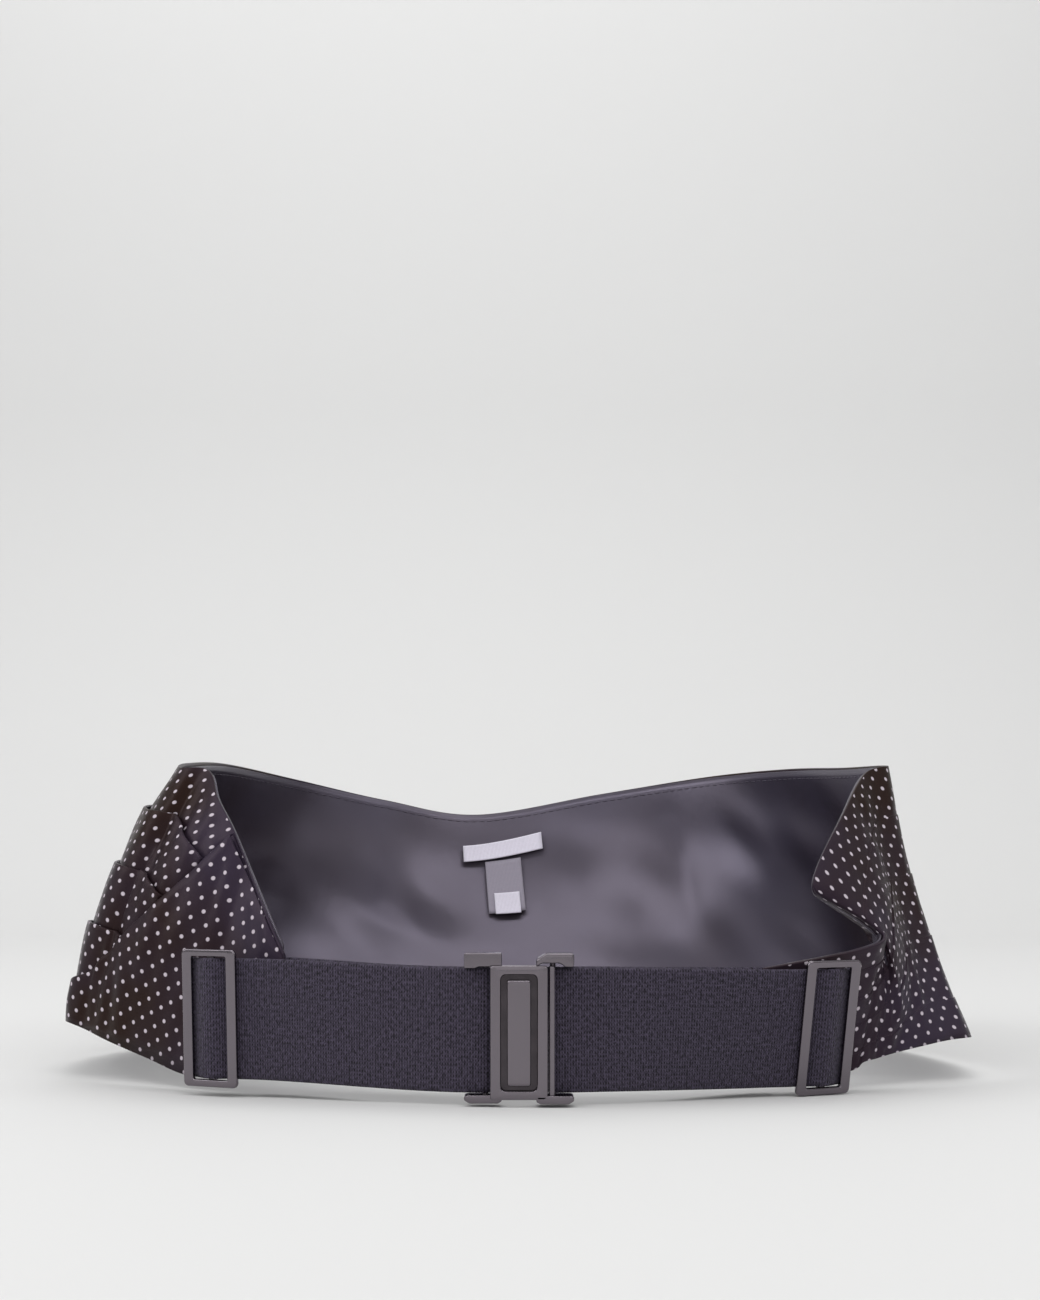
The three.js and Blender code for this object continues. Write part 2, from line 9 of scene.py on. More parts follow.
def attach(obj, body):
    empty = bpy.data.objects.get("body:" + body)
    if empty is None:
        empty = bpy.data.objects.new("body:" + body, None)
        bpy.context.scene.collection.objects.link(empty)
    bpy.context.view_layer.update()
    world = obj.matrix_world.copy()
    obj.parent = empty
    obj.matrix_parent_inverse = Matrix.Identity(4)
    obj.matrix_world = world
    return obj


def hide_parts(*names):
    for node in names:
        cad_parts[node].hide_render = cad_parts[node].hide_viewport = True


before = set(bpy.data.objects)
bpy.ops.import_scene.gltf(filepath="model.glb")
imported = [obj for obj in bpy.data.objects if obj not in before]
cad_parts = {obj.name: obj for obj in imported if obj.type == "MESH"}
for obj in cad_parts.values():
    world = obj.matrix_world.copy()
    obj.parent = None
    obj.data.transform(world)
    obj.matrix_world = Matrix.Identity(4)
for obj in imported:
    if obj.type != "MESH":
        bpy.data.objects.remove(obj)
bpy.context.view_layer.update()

bl_info = {
    "name": "Cummerbund",
    "version": (1, 0, 0),
    "blender": (4, 5, 0),
    "location": "3D View > Sidebar > Cummerbund",
    "description": "Builds a pleated pin-dot cummerbund with its elastic, adjusters and clasp",
    "category": "Object",
}

MM = 0.001
# Where the drawing's zero, the clasp's middle at the wearer's back, lies in the frame, in millimetres.
DRAWING_ZERO = np.array([1.884, -120.456, -1.280])

# The band's sections from the left tip, round the front, to the right tip: lower edge and upper edge
# as shares of half width, depth and rise, the bow as a share of the rise, where it is highest, and a
# bend of the same shape in a direction of its own.
SECTIONS = np.array([
    [-0.430, 0.080, 0.075, -0.430, 0.080, 0.418, 0.00, 0.50, 0, 0, 0],
    [-0.535, 0.118, 0.059, -0.465, 0.100, 0.527, 0.00, 0.50, 0, 0, 0],
    [-0.626, 0.155, 0.055, -0.507, 0.147, 0.652, 0.02, 0.50, 0, 0, 0],
    [-0.715, 0.200, 0.094, -0.547, 0.176, 0.780, 0.04, 0.50, 0, 0, 0],
    [-0.805, 0.241, 0.137, -0.583, 0.204, 0.872, 0.05, 0.50, 0, 0, 0],
    [-0.864, 0.278, 0.166, -0.607, 0.237, 0.953, 0.04, 0.50, 0, 0, 0],
    [-0.909, 0.310, 0.182, -0.670, 0.269, 0.962, 0.04, 0.50, 0, 0, 0],
    [-0.941, 0.482, 0.138, -0.698, 0.441, 0.993, 0.05, 0.50, 0, 0, 0],
    [-0.865, 0.653, 0.076, -0.668, 0.673, 1.016, 0.04, 0.50, 0, 0, 0],
    [-0.659, 0.771, 0.023, -0.541, 0.873, 0.979, 0.05, 0.50, 0, 0, 0],
    [-0.376, 0.800, 0.012, -0.335, 0.959, 0.909, 0.06, 0.50, 0, 0, 0],
    [-0.059, 0.808, 0.010, -0.106, 1.000, 0.855, 0.06, 0.50, 0, 0, 0],
    [0.265, 0.804, 0.010, 0.212, 0.984, 0.936, 0.06, 0.50, 0, 0, 0],
    [0.565, 0.776, 0.014, 0.471, 0.902, 0.995, 0.05, 0.50, 0, 0, 0],
    [0.817, 0.682, 0.050, 0.632, 0.759, 1.008, 0.03, 0.50, 0, 0, 0],
    [0.915, 0.449, 0.100, 0.719, 0.580, 0.996, -0.02, 0.50, 0, 0, 0],
    [0.896, 0.278, 0.139, 0.764, 0.400, 0.985, -0.03, 0.50, 0, 0, 0],
    [0.838, 0.237, 0.139, 0.705, 0.343, 0.954, -0.02, 0.50, 0, 0, 0],
    [0.777, 0.212, 0.126, 0.646, 0.269, 0.834, 0.00, 0.60, 0.05, 0, 0],
    [0.716, 0.188, 0.111, 0.559, 0.163, 0.607, 0.00, 0.68, 0.145, 0.028, 0],
    [0.681, 0.176, 0.099, 0.651, 0.237, 0.528, 0.00, 0.74, 0.067, -0.055, 0],
    [0.653, 0.163, 0.091, 0.696, 0.171, 0.465, 0.00, 0.55, 0, 0, 0],
    [0.618, 0.156, 0.064, 0.635, 0.127, 0.427, 0.00, 0.50, 0, 0, 0],
    [0.447, 0.098, 0.045, 0.447, 0.072, 0.380, 0.00, 0.50, 0, 0, 0],
])
HALF_WIDTH, DEPTH, RISE, FLOOR = 170.0, 245.0, 110.0, 1.28
LAST = len(SECTIONS) - 1
LEFT_FLAT_TO, LEFT_PLEATED_FROM = 1.5, 3.0
FLAP_TOP_AT, FLAP_LOW_AT = 2.85, 6.4
RIGHT_FLAT_FROM = (13.0, 13.0, 13.0, 14.4)
RIGHT_FLAT_RUN = 1.7
FRONT_CENTRE = 11.17
PLEAT_EDGES = (0.14, 0.37, 0.6, 0.82)
GAP = 0.3
# How far the front's outer face stands out from the band's middle surface, and the thinner cloths.
FRONT_FACE, LINING_THICK, TAPE_THICK = 1.5, 0.8, 0.35
# Lengths of cloth are kept as UV in decimetres.
UV_PER_METRE, MM_PER_UV = 10, 100

STRAP_WIDTH, STRAP_THICK, STRAP_BOTTOM = 38.0, 1.4, 5.2
STRAP_SWEEP, STRAP_SWEEP_POWER, LOOP_SPACING = 22.0, 1.3, 3.6
LEFT_LIFT, RIGHT_LIFT = 1.8, -1.2
SEWN_SETBACK, SEWN_OVERLAP = 7.4, 5.0
SETBACK_FROM, SETBACK_TO = 45, 9

SLIDER_HEIGHT, SLIDER_WIDTH, SLIDER_THICK, SLIDER_BAR = 43.4, 19.4, 1.8, 3.5
SLIDER_YAW, LEFT_PITCH, RIGHT_PITCH = math.radians(23), math.radians(2), math.radians(10)
SLIDER_CENTRE, SLIDER_CORNER = 97.0, 1.6
SLIDER_WINDOW_PLAY, SLIDER_WINDOW_CORNER = 0.7, 0.5
MIDDLE_BAR_WIDTH, MIDDLE_BAR_THICK, MIDDLE_BAR_SINK = 2.6, 1.6, 0.5

CLASP_HEIGHT, CLASP_WIDTH, CLASP_BOTTOM = 40.4, 17.4, 3.6
CLASP_FRONT, CLASP_THICK = -5.2, 1.6
CLASP_WINDOW = (10.9, 35.0)
TONGUE = (7.2, 32.0)
EAR_REACH, EAR_INNER = 16.6, 5.2
CLASP_BAR_RADIUS, CLASP_BAR_AT = 0.9, 10.2
CLASP_CORNER, WINDOW_CORNER, REAR_THICK, TONGUE_PROUD = 0.8, 1.6, 1.3, 0.9


class BandSettings(bpy.types.PropertyGroup):
    """Sizes and colours of the pleated front and its lining"""
    pleat_step: FloatProperty(
        name="Pleat step", description="How far each pleat's folded edge stands proud",
        default=2.2 * MM, min=0, subtype="DISTANCE", unit="LENGTH")
    pleat_pocket: FloatProperty(
        name="Pleat depth", description="How far each pleat reaches down behind its edge",
        default=6 * MM, min=0, subtype="DISTANCE", unit="LENGTH")
    dot_pitch: FloatProperty(
        name="Dot pitch", description="From one dot to the next along a row",
        default=6.0 * MM, min=0.001, subtype="DISTANCE", unit="LENGTH")
    dot_row: FloatProperty(
        name="Dot rows", description="From one row of dots to the next",
        default=3.5 * MM, min=0.001, subtype="DISTANCE", unit="LENGTH")
    dot_radius: FloatProperty(
        name="Dot radius", description="Radius of a woven pin dot",
        default=0.66 * MM, min=0, subtype="DISTANCE", unit="LENGTH")
    satin: FloatVectorProperty(
        name="Satin", description="Ground colour of the satin, brown side",
        default=(0.0155, 0.0068, 0.0042), subtype="COLOR")
    # Violet painted sheen, mottled at random into the satin's brown ground colour.
    satin_painted_sheen: FloatVectorProperty(
        name="Satin sheen", description="Ground colour of the satin, violet side",
        default=(0.030, 0.022, 0.039), subtype="COLOR")
    dots: FloatVectorProperty(
        name="Dots", description="Colour of the pin dots",
        default=(0.56, 0.50, 0.56), subtype="COLOR")
    lining: FloatVectorProperty(
        name="Lining", description="Colour of the lining satin",
        default=(0.021, 0.0180, 0.030), subtype="COLOR")
    # Painted shade: the darker brown end of the lining's mottle, against the lighter violet one, paints
    # cloudy shade and sheen.
    lining_painted_shade: FloatVectorProperty(
        name="Lining, warm side", description="Colour of the lining satin where it looks warmer",
        default=(0.0125, 0.0080, 0.0095), subtype="COLOR")
    columns: IntProperty(
        name="Columns", description="Rows of faces between two sections of the band",
        default=20, min=4, max=30)


class ElasticSettings(bpy.types.PropertyGroup):
    """Sizes and colour of the elastic"""
    rib: FloatProperty(
        name="Rib spacing", description="From one knitted rib to the next",
        default=0.85 * MM, min=0.0001, subtype="DISTANCE", unit="LENGTH")
    colour: FloatVectorProperty(
        name="Elastic", description="Colour of the elastic",
        default=(0.0110, 0.0091, 0.0142), subtype="COLOR")


class MetalSettings(bpy.types.PropertyGroup):
    """Finish of the adjusters and the clasp"""
    bevel: FloatProperty(
        name="Edge rounding", description="Radius of the polished edges",
        default=0.6 * MM, min=0, subtype="DISTANCE", unit="LENGTH")
    colour: FloatVectorProperty(
        name="Gunmetal", description="Colour of the plating",
        default=(0.30, 0.262, 0.29), subtype="COLOR")


class StageSettings(bpy.types.PropertyGroup):
    """Camera and studio"""
    distance: FloatProperty(
        name="Camera distance", description="From the clasp to the camera",
        default=0.56, min=0.1, subtype="DISTANCE", unit="LENGTH")
    height: FloatProperty(
        name="Camera height", description="Above the surface the band stands on",
        default=0.0775, min=0.0, subtype="DISTANCE", unit="LENGTH")
    key: FloatProperty(
        name="Light", description="Brightness of all the soft lights together", default=1.0, min=0)


# Shapes shared by the pieces

def ramp(value, start, end):
    t = np.clip((np.asarray(value, dtype=float) - start) / (end - start), 0, 1)
    return t * t * (3 - 2 * t)


def along_table(position, column):
    position = np.asarray(position, dtype=float)
    i = np.minimum(np.floor(position).astype(int), LAST - 1)
    t = position - i
    a, b, c, d = (SECTIONS[np.clip(i + k, 0, LAST), column] for k in (-1, 0, 1, 2))
    rise, fall = 0.5 * (c - a), 0.5 * (d - b)
    return ((2 * t**3 - 3 * t**2 + 1) * b + (t**3 - 2 * t**2 + t) * rise
            + (-2 * t**3 + 3 * t**2) * c + (t**3 - t**2) * fall)


def edge_point(position, first):
    x = HALF_WIDTH * along_table(position, first)
    y = DEPTH * along_table(position, first + 1)
    z = np.maximum(FLOOR, RISE * along_table(position, first + 2))
    return np.stack([x, y, z], axis=-1)


def unit(v):
    return v / np.maximum(np.linalg.norm(v, axis=-1, keepdims=True), 1e-9)


def middle_point(position, share):
    """The band's middle surface; position and share are arrays of one shape."""
    low, high = edge_point(position, 0), edge_point(position, 3)
    p0, p1 = np.clip(position - 0.05, 0, LAST), np.clip(position + 0.05, 0, LAST)
    before = edge_point(p0, 0) + edge_point(p0, 3)
    after = edge_point(p1, 0) + edge_point(p1, 3)
    chord = high - low
    outward = unit(np.cross(chord, after - before))
    peak = along_table(position, 7)
    below = np.sin(math.pi / 2 * share / peak)
    above = np.cos(math.pi / 2 * (share - peak) / (1 - peak))
    shape = np.where(share < peak, below, above)
    bow = RISE * along_table(position, 6) * shape
    bend = RISE * np.stack([along_table(position, k) for k in (8, 9, 10)], axis=-1) * shape[..., None]
    return low + chord * share[..., None] + outward * bow[..., None] + bend


def band_point(position, share, offset):
    """A point set out from the middle surface by offset, in millimetres."""
    position, share, offset = np.broadcast_arrays(position, share, offset)
    share_in = np.clip(share, 0, 1)
    p0, p1 = np.clip(position - 1, 0, LAST), np.clip(position + 1, 0, LAST)
    s0, s1 = np.clip(share_in - 0.1, 0, 1), np.clip(share_in + 0.1, 0, 1)
    along = middle_point(p1, share_in) - middle_point(p0, share_in)
    up = middle_point(position, s1) - middle_point(position, s0)
    outward = unit(np.cross(up, along))
    flat = outward * np.array([1, 1, 0])
    outward = np.where((share_in <= 0)[..., None], unit(flat), outward)
    return middle_point(position, share_in) + outward * offset[..., None]


def to_frame(points):
    return (points + DRAWING_ZERO) * MM


def soft_noise(a, b, seed, size_a, size_b):
    """Smooth seeded undulation from -1 to 1 over two lengths in millimetres."""
    rng = np.random.default_rng(seed)
    total = np.zeros(np.broadcast(a, b).shape)
    for _ in range(7):
        fa, fb = rng.uniform(0.5, 1.5, 2)
        turn = rng.uniform(-0.6, 0.6)
        phase = rng.uniform(0, 2 * math.pi)
        total = total + np.sin(2 * math.pi * (a * fa / size_a + b * (fb / size_b + turn / size_a)) + phase)
    return total / 7 * 1.6


# Meshes

def mesh_object(name, vertices, faces, uv):
    """A smooth mesh; uv has the place on the cloth of each vertex or of each face corner."""
    mesh = bpy.data.meshes.new(name)
    mesh.from_pydata([tuple(v) for v in vertices], [], faces)
    layer = mesh.uv_layers.new(name="cloth")
    corner = np.zeros(len(mesh.loops), dtype=np.int32)
    mesh.loops.foreach_get("vertex_index", corner)
    values = np.asarray(uv, dtype=np.float32)
    if len(values) != len(corner):
        values = values[corner]
    layer.data.foreach_set("uv", values.ravel())
    mesh.validate()
    obj = bpy.data.objects.new(name, mesh)
    bpy.context.scene.collection.objects.link(obj)
    work = bmesh.new()
    work.from_mesh(mesh)
    bmesh.ops.recalc_face_normals(work, faces=work.faces)
    work.to_mesh(mesh)
    work.free()
    mesh.polygons.foreach_set("use_smooth", [True] * len(mesh.polygons))
    mesh.update()
    return obj


def ring_faces(columns, rows):
    faces = []
    for c in range(columns - 1):
        base, after = c * rows, (c + 1) * rows
        for r in range(rows):
            n = (r + 1) % rows
            faces.append((base + r, after + r, after + n, base + n))
    return faces


def stitched(first, second, along_first, along_second):
    """Triangles between two lines of vertices, run along together."""
    faces = []
    i = j = 0
    while i < len(first) - 1 or j < len(second) - 1:
        step_first = j >= len(second) - 1 or (
            i < len(first) - 1 and along_first[i + 1] <= along_second[j + 1])
        if step_first:
            faces.append((first[i], first[i + 1], second[j]))
            i += 1
        else:
            faces.append((first[i], second[j + 1], second[j]))
            j += 1
    return faces


def sheet_object(name, inner, outer, uv):
    """A closed sheet between two grids of points, [column][row]."""
    columns, rows = inner.shape[:2]
    ring = np.concatenate([outer, inner[:, ::-1]], axis=1)
    count = ring.shape[1]
    faces = ring_faces(columns, count)
    for c in (0, columns - 1):
        for r in range(rows - 1):
            a, b = c * count + r, c * count + count - 1 - r
            faces.append((a, a + 1, b - 1, b))
    flat_uv = np.concatenate([uv, uv[:, ::-1]], axis=1).reshape(-1, 2)
    return mesh_object(name, to_frame(ring.reshape(-1, 3)), faces, flat_uv)


def add_stitches(obj, line, pitch, length, radius):
    """Sews a row of raised stitches along a line of points, as part of the piece."""
    steps = np.linalg.norm(np.diff(line, axis=0), axis=1)
    run = np.concatenate([[0], np.cumsum(steps)])
    work = bmesh.new()
    work.from_mesh(obj.data)
    cloth = work.loops.layers.uv.active
    around = np.arange(6) * math.pi / 3
    count = len(around)
    for start in np.arange(pitch, run[-1] - pitch, pitch):
        ends = [np.array([np.interp(at, run, line[:, k]) for k in range(3)])
                for at in (start, start + length)]
        way = unit(ends[1] - ends[0])
        side = unit(np.cross(way, [0.0, 0.0, 1.0]))
        up = np.cross(side, way)
        rings = []
        for share, swell in ((0.0, 0.35), (0.25, 1.0), (0.75, 1.0), (1.0, 0.35)):
            centre = ends[0] + (ends[1] - ends[0]) * share
            ring = [centre + swell * radius * (math.cos(a) * side + math.sin(a) * up)
                    for a in around]
            rings.append([work.verts.new(to_frame(point)) for point in ring])
        made = [work.faces.new((first[i], first[(i + 1) % count], second[(i + 1) % count], second[i]))
                for first, second in zip(rings, rings[1:]) for i in range(count)]
        made += [work.faces.new(rings[0][::-1]), work.faces.new(rings[-1])]
        for face in made:
            face.smooth = True
            for loop in face.loops:
                loop[cloth].uv = (0.01 * start, 0.0)
    bmesh.ops.recalc_face_normals(work, faces=work.faces)
    work.to_mesh(obj.data)
    work.free()


def cloth_lengths(points):
    """Lengths in decimetres along each row and up each column, as UV."""
    along = np.linalg.norm(np.diff(points, axis=0), axis=-1)
    along = np.concatenate([np.zeros((1, points.shape[1])), np.cumsum(along, axis=0)])
    centre = along[int(len(along) * FRONT_CENTRE / LAST)]
    up = np.linalg.norm(np.diff(points, axis=1), axis=-1)
    up = np.concatenate([np.zeros((points.shape[0], 1)), np.cumsum(up, axis=1)], axis=1)
    return np.stack([along - centre, up], axis=-1) / MM_PER_UV


# Shader groups

def new_group(name, inputs, outputs):
    group = bpy.data.node_groups.new(name, "ShaderNodeTree")
    for label, kind, default in inputs:
        socket = group.interface.new_socket(label, in_out="INPUT", socket_type=kind)
        if default is not None:
            socket.default_value = default
    for label, kind in outputs:
        group.interface.new_socket(label, in_out="OUTPUT", socket_type=kind)
    return group, group.nodes.new("NodeGroupInput"), group.nodes.new("NodeGroupOutput")


def feed(tree, socket, value):
    """Links a socket to another node's output, or sets it to a value."""
    if hasattr(value, "is_output"):
        tree.links.new(value, socket)
    else:
        socket.default_value = value


def math_node(tree, operation, *values):
    node = tree.nodes.new("ShaderNodeMath")
    node.operation = operation
    for socket, value in zip(node.inputs, values):
        feed(tree, socket, value)
    return node.outputs[0]


def axes_of(tree, vector):
    node = tree.nodes.new("ShaderNodeSeparateXYZ")
    tree.links.new(vector, node.inputs[0])
    return node.outputs[0], node.outputs[1]


def dot_lattice():
    """Pin dots in staggered rows; mask is 1 on a dot."""
    tree, start, end = new_group(
        "pin dots",
        [("Cloth", "NodeSocketVector", None), ("Pitch", "NodeSocketFloat", 0.05),
         ("Row", "NodeSocketFloat", 0.03), ("Radius", "NodeSocketFloat", 0.007),
         ("Softness", "NodeSocketFloat", 0.0015)],
        [("Mask", "NodeSocketFloat")])
    x, y = axes_of(tree, start.outputs["Cloth"])
    pitch, row = start.outputs["Pitch"], start.outputs["Row"]
    double_row = math_node(tree, "MULTIPLY", row, 2.0)

    def distance(dx, dy):
        fx = math_node(tree, "FRACT", math_node(tree, "DIVIDE", math_node(tree, "ADD", x, dx), pitch))
        fy = math_node(tree, "FRACT", math_node(tree, "DIVIDE", math_node(tree, "ADD", y, dy), double_row))
        px = math_node(tree, "MULTIPLY", math_node(tree, "SUBTRACT", fx, 0.5), pitch)
        py = math_node(tree, "MULTIPLY", math_node(tree, "SUBTRACT", fy, 0.5), double_row)
        squares = math_node(tree, "ADD", math_node(tree, "POWER", px, 2.0), math_node(tree, "POWER", py, 2.0))
        return math_node(tree, "SQRT", squares)

    half_pitch = math_node(tree, "MULTIPLY", pitch, 0.5)
    nearest = math_node(tree, "MINIMUM", distance(0.0, 0.0), distance(half_pitch, row))
    inside = math_node(tree, "SUBTRACT", start.outputs["Radius"], nearest)
    soft = math_node(tree, "DIVIDE", inside, start.outputs["Softness"])
    mask = math_node(tree, "ADD", soft, 0.5)
    mask.node.use_clamp = True
    tree.links.new(mask, end.inputs["Mask"])
    return tree


def cloth_weave():
    """Crossing threads; height is 0 to 1, and streak varies along the threads."""
    tree, start, end = new_group(
        "weave",
        [("Cloth", "NodeSocketVector", None), ("Across", "NodeSocketFloat", 0.005),
         ("Along", "NodeSocketFloat", 0.005), ("Unevenness", "NodeSocketFloat", 0.3)],
        [("Height", "NodeSocketFloat"), ("Streak", "NodeSocketFloat")])
    x, y = axes_of(tree, start.outputs["Cloth"])

    def wave(value, spacing):
        turns = math_node(tree, "DIVIDE", math_node(tree, "MULTIPLY", value, 2 * math.pi), spacing)
        return math_node(tree, "SINE", turns)

    warp = wave(x, start.outputs["Across"])
    weft = wave(y, start.outputs["Along"])
    crossing = math_node(tree, "MULTIPLY", math_node(tree, "MULTIPLY", warp, weft), 0.25)
    ridge = math_node(tree, "MULTIPLY", warp, 0.25)
    height = math_node(tree, "ADD", math_node(tree, "ADD", crossing, ridge), 0.5)
    noise = tree.nodes.new("ShaderNodeTexNoise")
    noise.inputs["Scale"].default_value = 90.0
    noise.inputs["Detail"].default_value = 3.0
    tree.links.new(start.outputs["Cloth"], noise.inputs["Vector"])
    uneven = math_node(tree, "MULTIPLY", math_node(tree, "SUBTRACT", noise.outputs[0], 0.5),
                       start.outputs["Unevenness"])
    tree.links.new(math_node(tree, "ADD", height, uneven), end.inputs["Height"])
    tree.links.new(math_node(tree, "ADD", uneven, 0.5), end.inputs["Streak"])
    return tree


def mottled():
    """Slow drift between two colours at random places: painted sheen and shade on the satins, wear on the
    metal.
    """
    tree, start, end = new_group(
        "mottle",
        [("Place", "NodeSocketVector", None), ("First", "NodeSocketColor", (0, 0, 0, 1)),
         ("Second", "NodeSocketColor", (1, 1, 1, 1)), ("Scale", "NodeSocketFloat", 10.0)],
        [("Color", "NodeSocketColor"), ("Mask", "NodeSocketFloat")])
    noise = tree.nodes.new("ShaderNodeTexNoise")
    noise.inputs["Detail"].default_value = 2.5
    tree.links.new(start.outputs["Place"], noise.inputs["Vector"])
    tree.links.new(start.outputs["Scale"], noise.inputs["Scale"])
    spread = tree.nodes.new("ShaderNodeMapRange")
    spread.inputs["From Min"].default_value = 0.36
    spread.inputs["From Max"].default_value = 0.64
    tree.links.new(noise.outputs[0], spread.inputs["Value"])
    colour = mixed(tree, spread.outputs[0], start.outputs["First"], start.outputs["Second"])
    tree.links.new(colour, end.inputs["Color"])
    tree.links.new(spread.outputs[0], end.inputs["Mask"])
    return tree


GROUP_MAKERS = {"pin dots": dot_lattice, "weave": cloth_weave, "mottle": mottled}


def placed(tree, name, **values):
    """A node that uses a shared group, with its inputs set or linked."""
    group = bpy.data.node_groups.get(name) or GROUP_MAKERS[name]()
    node = tree.nodes.new("ShaderNodeGroup")
    node.node_tree = group
    for label, value in values.items():
        feed(tree, node.inputs[label], value)
    return node


def new_material(name, **settings):
    material = bpy.data.materials.new(name)
    material.use_nodes = True
    shader = material.node_tree.nodes["Principled BSDF"]
    for label, value in settings.items():
        shader.inputs[label.replace("_", " ").title().replace("Ior", "IOR")].default_value = value
    return material, material.node_tree, shader


def mixed(tree, share, first, second):
    mix = tree.nodes.new("ShaderNodeMix")
    mix.data_type = "RGBA"
    for index, value in ((0, share), (6, first), (7, second)):
        feed(tree, mix.inputs[index], value)
    return mix.outputs[2]


def ranged(tree, value, low, high):
    node = tree.nodes.new("ShaderNodeMapRange")
    tree.links.new(value, node.inputs["Value"])
    node.inputs["To Min"].default_value = low
    node.inputs["To Max"].default_value = high
    return node.outputs[0]


def bumped(tree, shader, height, distance):
    node = tree.nodes.new("ShaderNodeBump")
    node.inputs["Distance"].default_value = distance
    tree.links.new(height, node.inputs["Height"])
    tree.links.new(node.outputs[0], shader.inputs["Normal"])


def cloth_uv(tree):
    node = tree.nodes.new("ShaderNodeUVMap")
    node.uv_map = "cloth"
    return node.outputs[0]


def object_place(tree):
    return tree.nodes.new("ShaderNodeTexCoord").outputs["Object"]


def opaque(colour):
    return (*colour, 1.0)


def satin_material():
    band = bpy.context.scene.cummerbund_band
    material, tree, shader = new_material(
        "pin-dot satin", specular_ior_level=0.15, specular_tint=(1.0, 0.76, 0.8, 1))
    cloth = cloth_uv(tree)
    # The ground drifts at random between the brown and the violet painted sheen.
    ground_and_painted_light = placed(tree, "mottle", Place=object_place(tree), First=opaque(band.satin),
                    Second=opaque(band.satin_painted_sheen), Scale=20.0)
    dots = placed(tree, "pin dots", Cloth=cloth, Pitch=band.dot_pitch * UV_PER_METRE,
                  Row=band.dot_row * UV_PER_METRE, Radius=band.dot_radius * UV_PER_METRE, Softness=0.0028)
    weave = placed(tree, "weave", Cloth=cloth, Across=0.0045, Along=0.0036, Unevenness=0.5)
    colour = mixed(tree, dots.outputs["Mask"], ground_and_painted_light.outputs["Color"], opaque(band.dots))
    tree.links.new(colour, shader.inputs["Base Color"])
    rough = ranged(tree, weave.outputs["Streak"], 0.3, 0.44)
    dotted = math_node(tree, "ADD", rough, math_node(tree, "MULTIPLY", dots.outputs["Mask"], 0.2))
    tree.links.new(dotted, shader.inputs["Roughness"])
    height = math_node(tree, "ADD", math_node(tree, "MULTIPLY", weave.outputs["Height"], 0.4),
                       math_node(tree, "MULTIPLY", dots.outputs["Mask"], 0.8))
    bumped(tree, shader, height, 0.00006)
    return material


def lining_material():
    band = bpy.context.scene.cummerbund_band
    material, tree, shader = new_material(
        "lining satin", ior=1.6, specular_ior_level=1.0, specular_tint=(0.86, 0.78, 1.0, 1))
    cloth = cloth_uv(tree)
    # Painted sheen and painted shade: the ground drifts at random between the lighter and the darker lining
    # colour.
    ground_and_painted_light = placed(tree, "mottle", Place=object_place(tree), First=opaque(band.lining),
                    Second=opaque(band.lining_painted_shade), Scale=14.0)
    weave = placed(tree, "weave", Cloth=cloth, Across=0.004, Along=0.0032, Unevenness=0.5)
    tree.links.new(ground_and_painted_light.outputs["Color"], shader.inputs["Base Color"])
    tree.links.new(ranged(tree, weave.outputs["Streak"], 0.27, 0.4), shader.inputs["Roughness"])
    bumped(tree, shader, weave.outputs["Height"], 0.00003)
    return material


def elastic_material():
    found = bpy.data.materials.get("ribbed elastic")
    if found:
        return found
    elastic = bpy.context.scene.cummerbund_elastic
    material, tree, shader = new_material(
        "ribbed elastic", sheen_weight=0.06, sheen_roughness=0.5, specular_ior_level=0.15)
    cloth = cloth_uv(tree)
    rib = elastic.rib * UV_PER_METRE
    weave = placed(tree, "weave", Cloth=cloth, Across=rib, Along=rib * 1.4, Unevenness=2.0)
    light = tuple(7.2 * c for c in elastic.colour)
    colour = mixed(tree, weave.outputs["Height"], opaque(elastic.colour), opaque(light))
    tree.links.new(colour, shader.inputs["Base Color"])
    tree.links.new(ranged(tree, weave.outputs["Streak"], 0.62, 0.85), shader.inputs["Roughness"])
    bumped(tree, shader, weave.outputs["Height"], 0.00035)
    return material


def metal_material(name="gunmetal", shade=1.0):
    found = bpy.data.materials.get(name)
    if found:
        return found
    metal = bpy.context.scene.cummerbund_metal
    material, tree, shader = new_material(name, metallic=1.0)
    # A shade below 1 darkens the plating's colour; that darkened copy is painted shade.
    bright = tuple(shade * c for c in metal.colour)
    dull = tuple(0.82 * c for c in bright)
    worn = placed(tree, "mottle", Place=object_place(tree), First=opaque(bright),
                  Second=opaque(dull), Scale=160.0)
    tree.links.new(worn.outputs["Color"], shader.inputs["Base Color"])
    tree.links.new(ranged(tree, worn.outputs["Mask"], 0.09, 0.15), shader.inputs["Roughness"])
    fine = tree.nodes.new("ShaderNodeTexNoise")
    fine.inputs["Scale"].default_value = 900.0
    tree.links.new(object_place(tree), fine.inputs["Vector"])
    bumped(tree, shader, fine.outputs[0], 0.000004)
    return material


def tape_material(name, colour):
    material, tree, shader = new_material(name, sheen_weight=0.2, sheen_roughness=0.5)
    cloth = cloth_uv(tree)
    weave = placed(tree, "weave", Cloth=cloth, Across=0.006, Along=0.006, Unevenness=0.6)
    dark = tuple(0.78 * c for c in colour)
    woven = mixed(tree, weave.outputs["Height"], opaque(dark), opaque(colour))
    tree.links.new(woven, shader.inputs["Base Color"])
    tree.links.new(ranged(tree, weave.outputs["Streak"], 0.6, 0.8), shader.inputs["Roughness"])
    bumped(tree, shader, weave.outputs["Height"], 0.00008)
    return material


def finished(obj, material, slot, *nodes):
    obj.data.materials.clear()
    obj.data.materials.append(material)
    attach(obj, "root")
    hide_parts(*nodes)
    return obj


# The pleated front

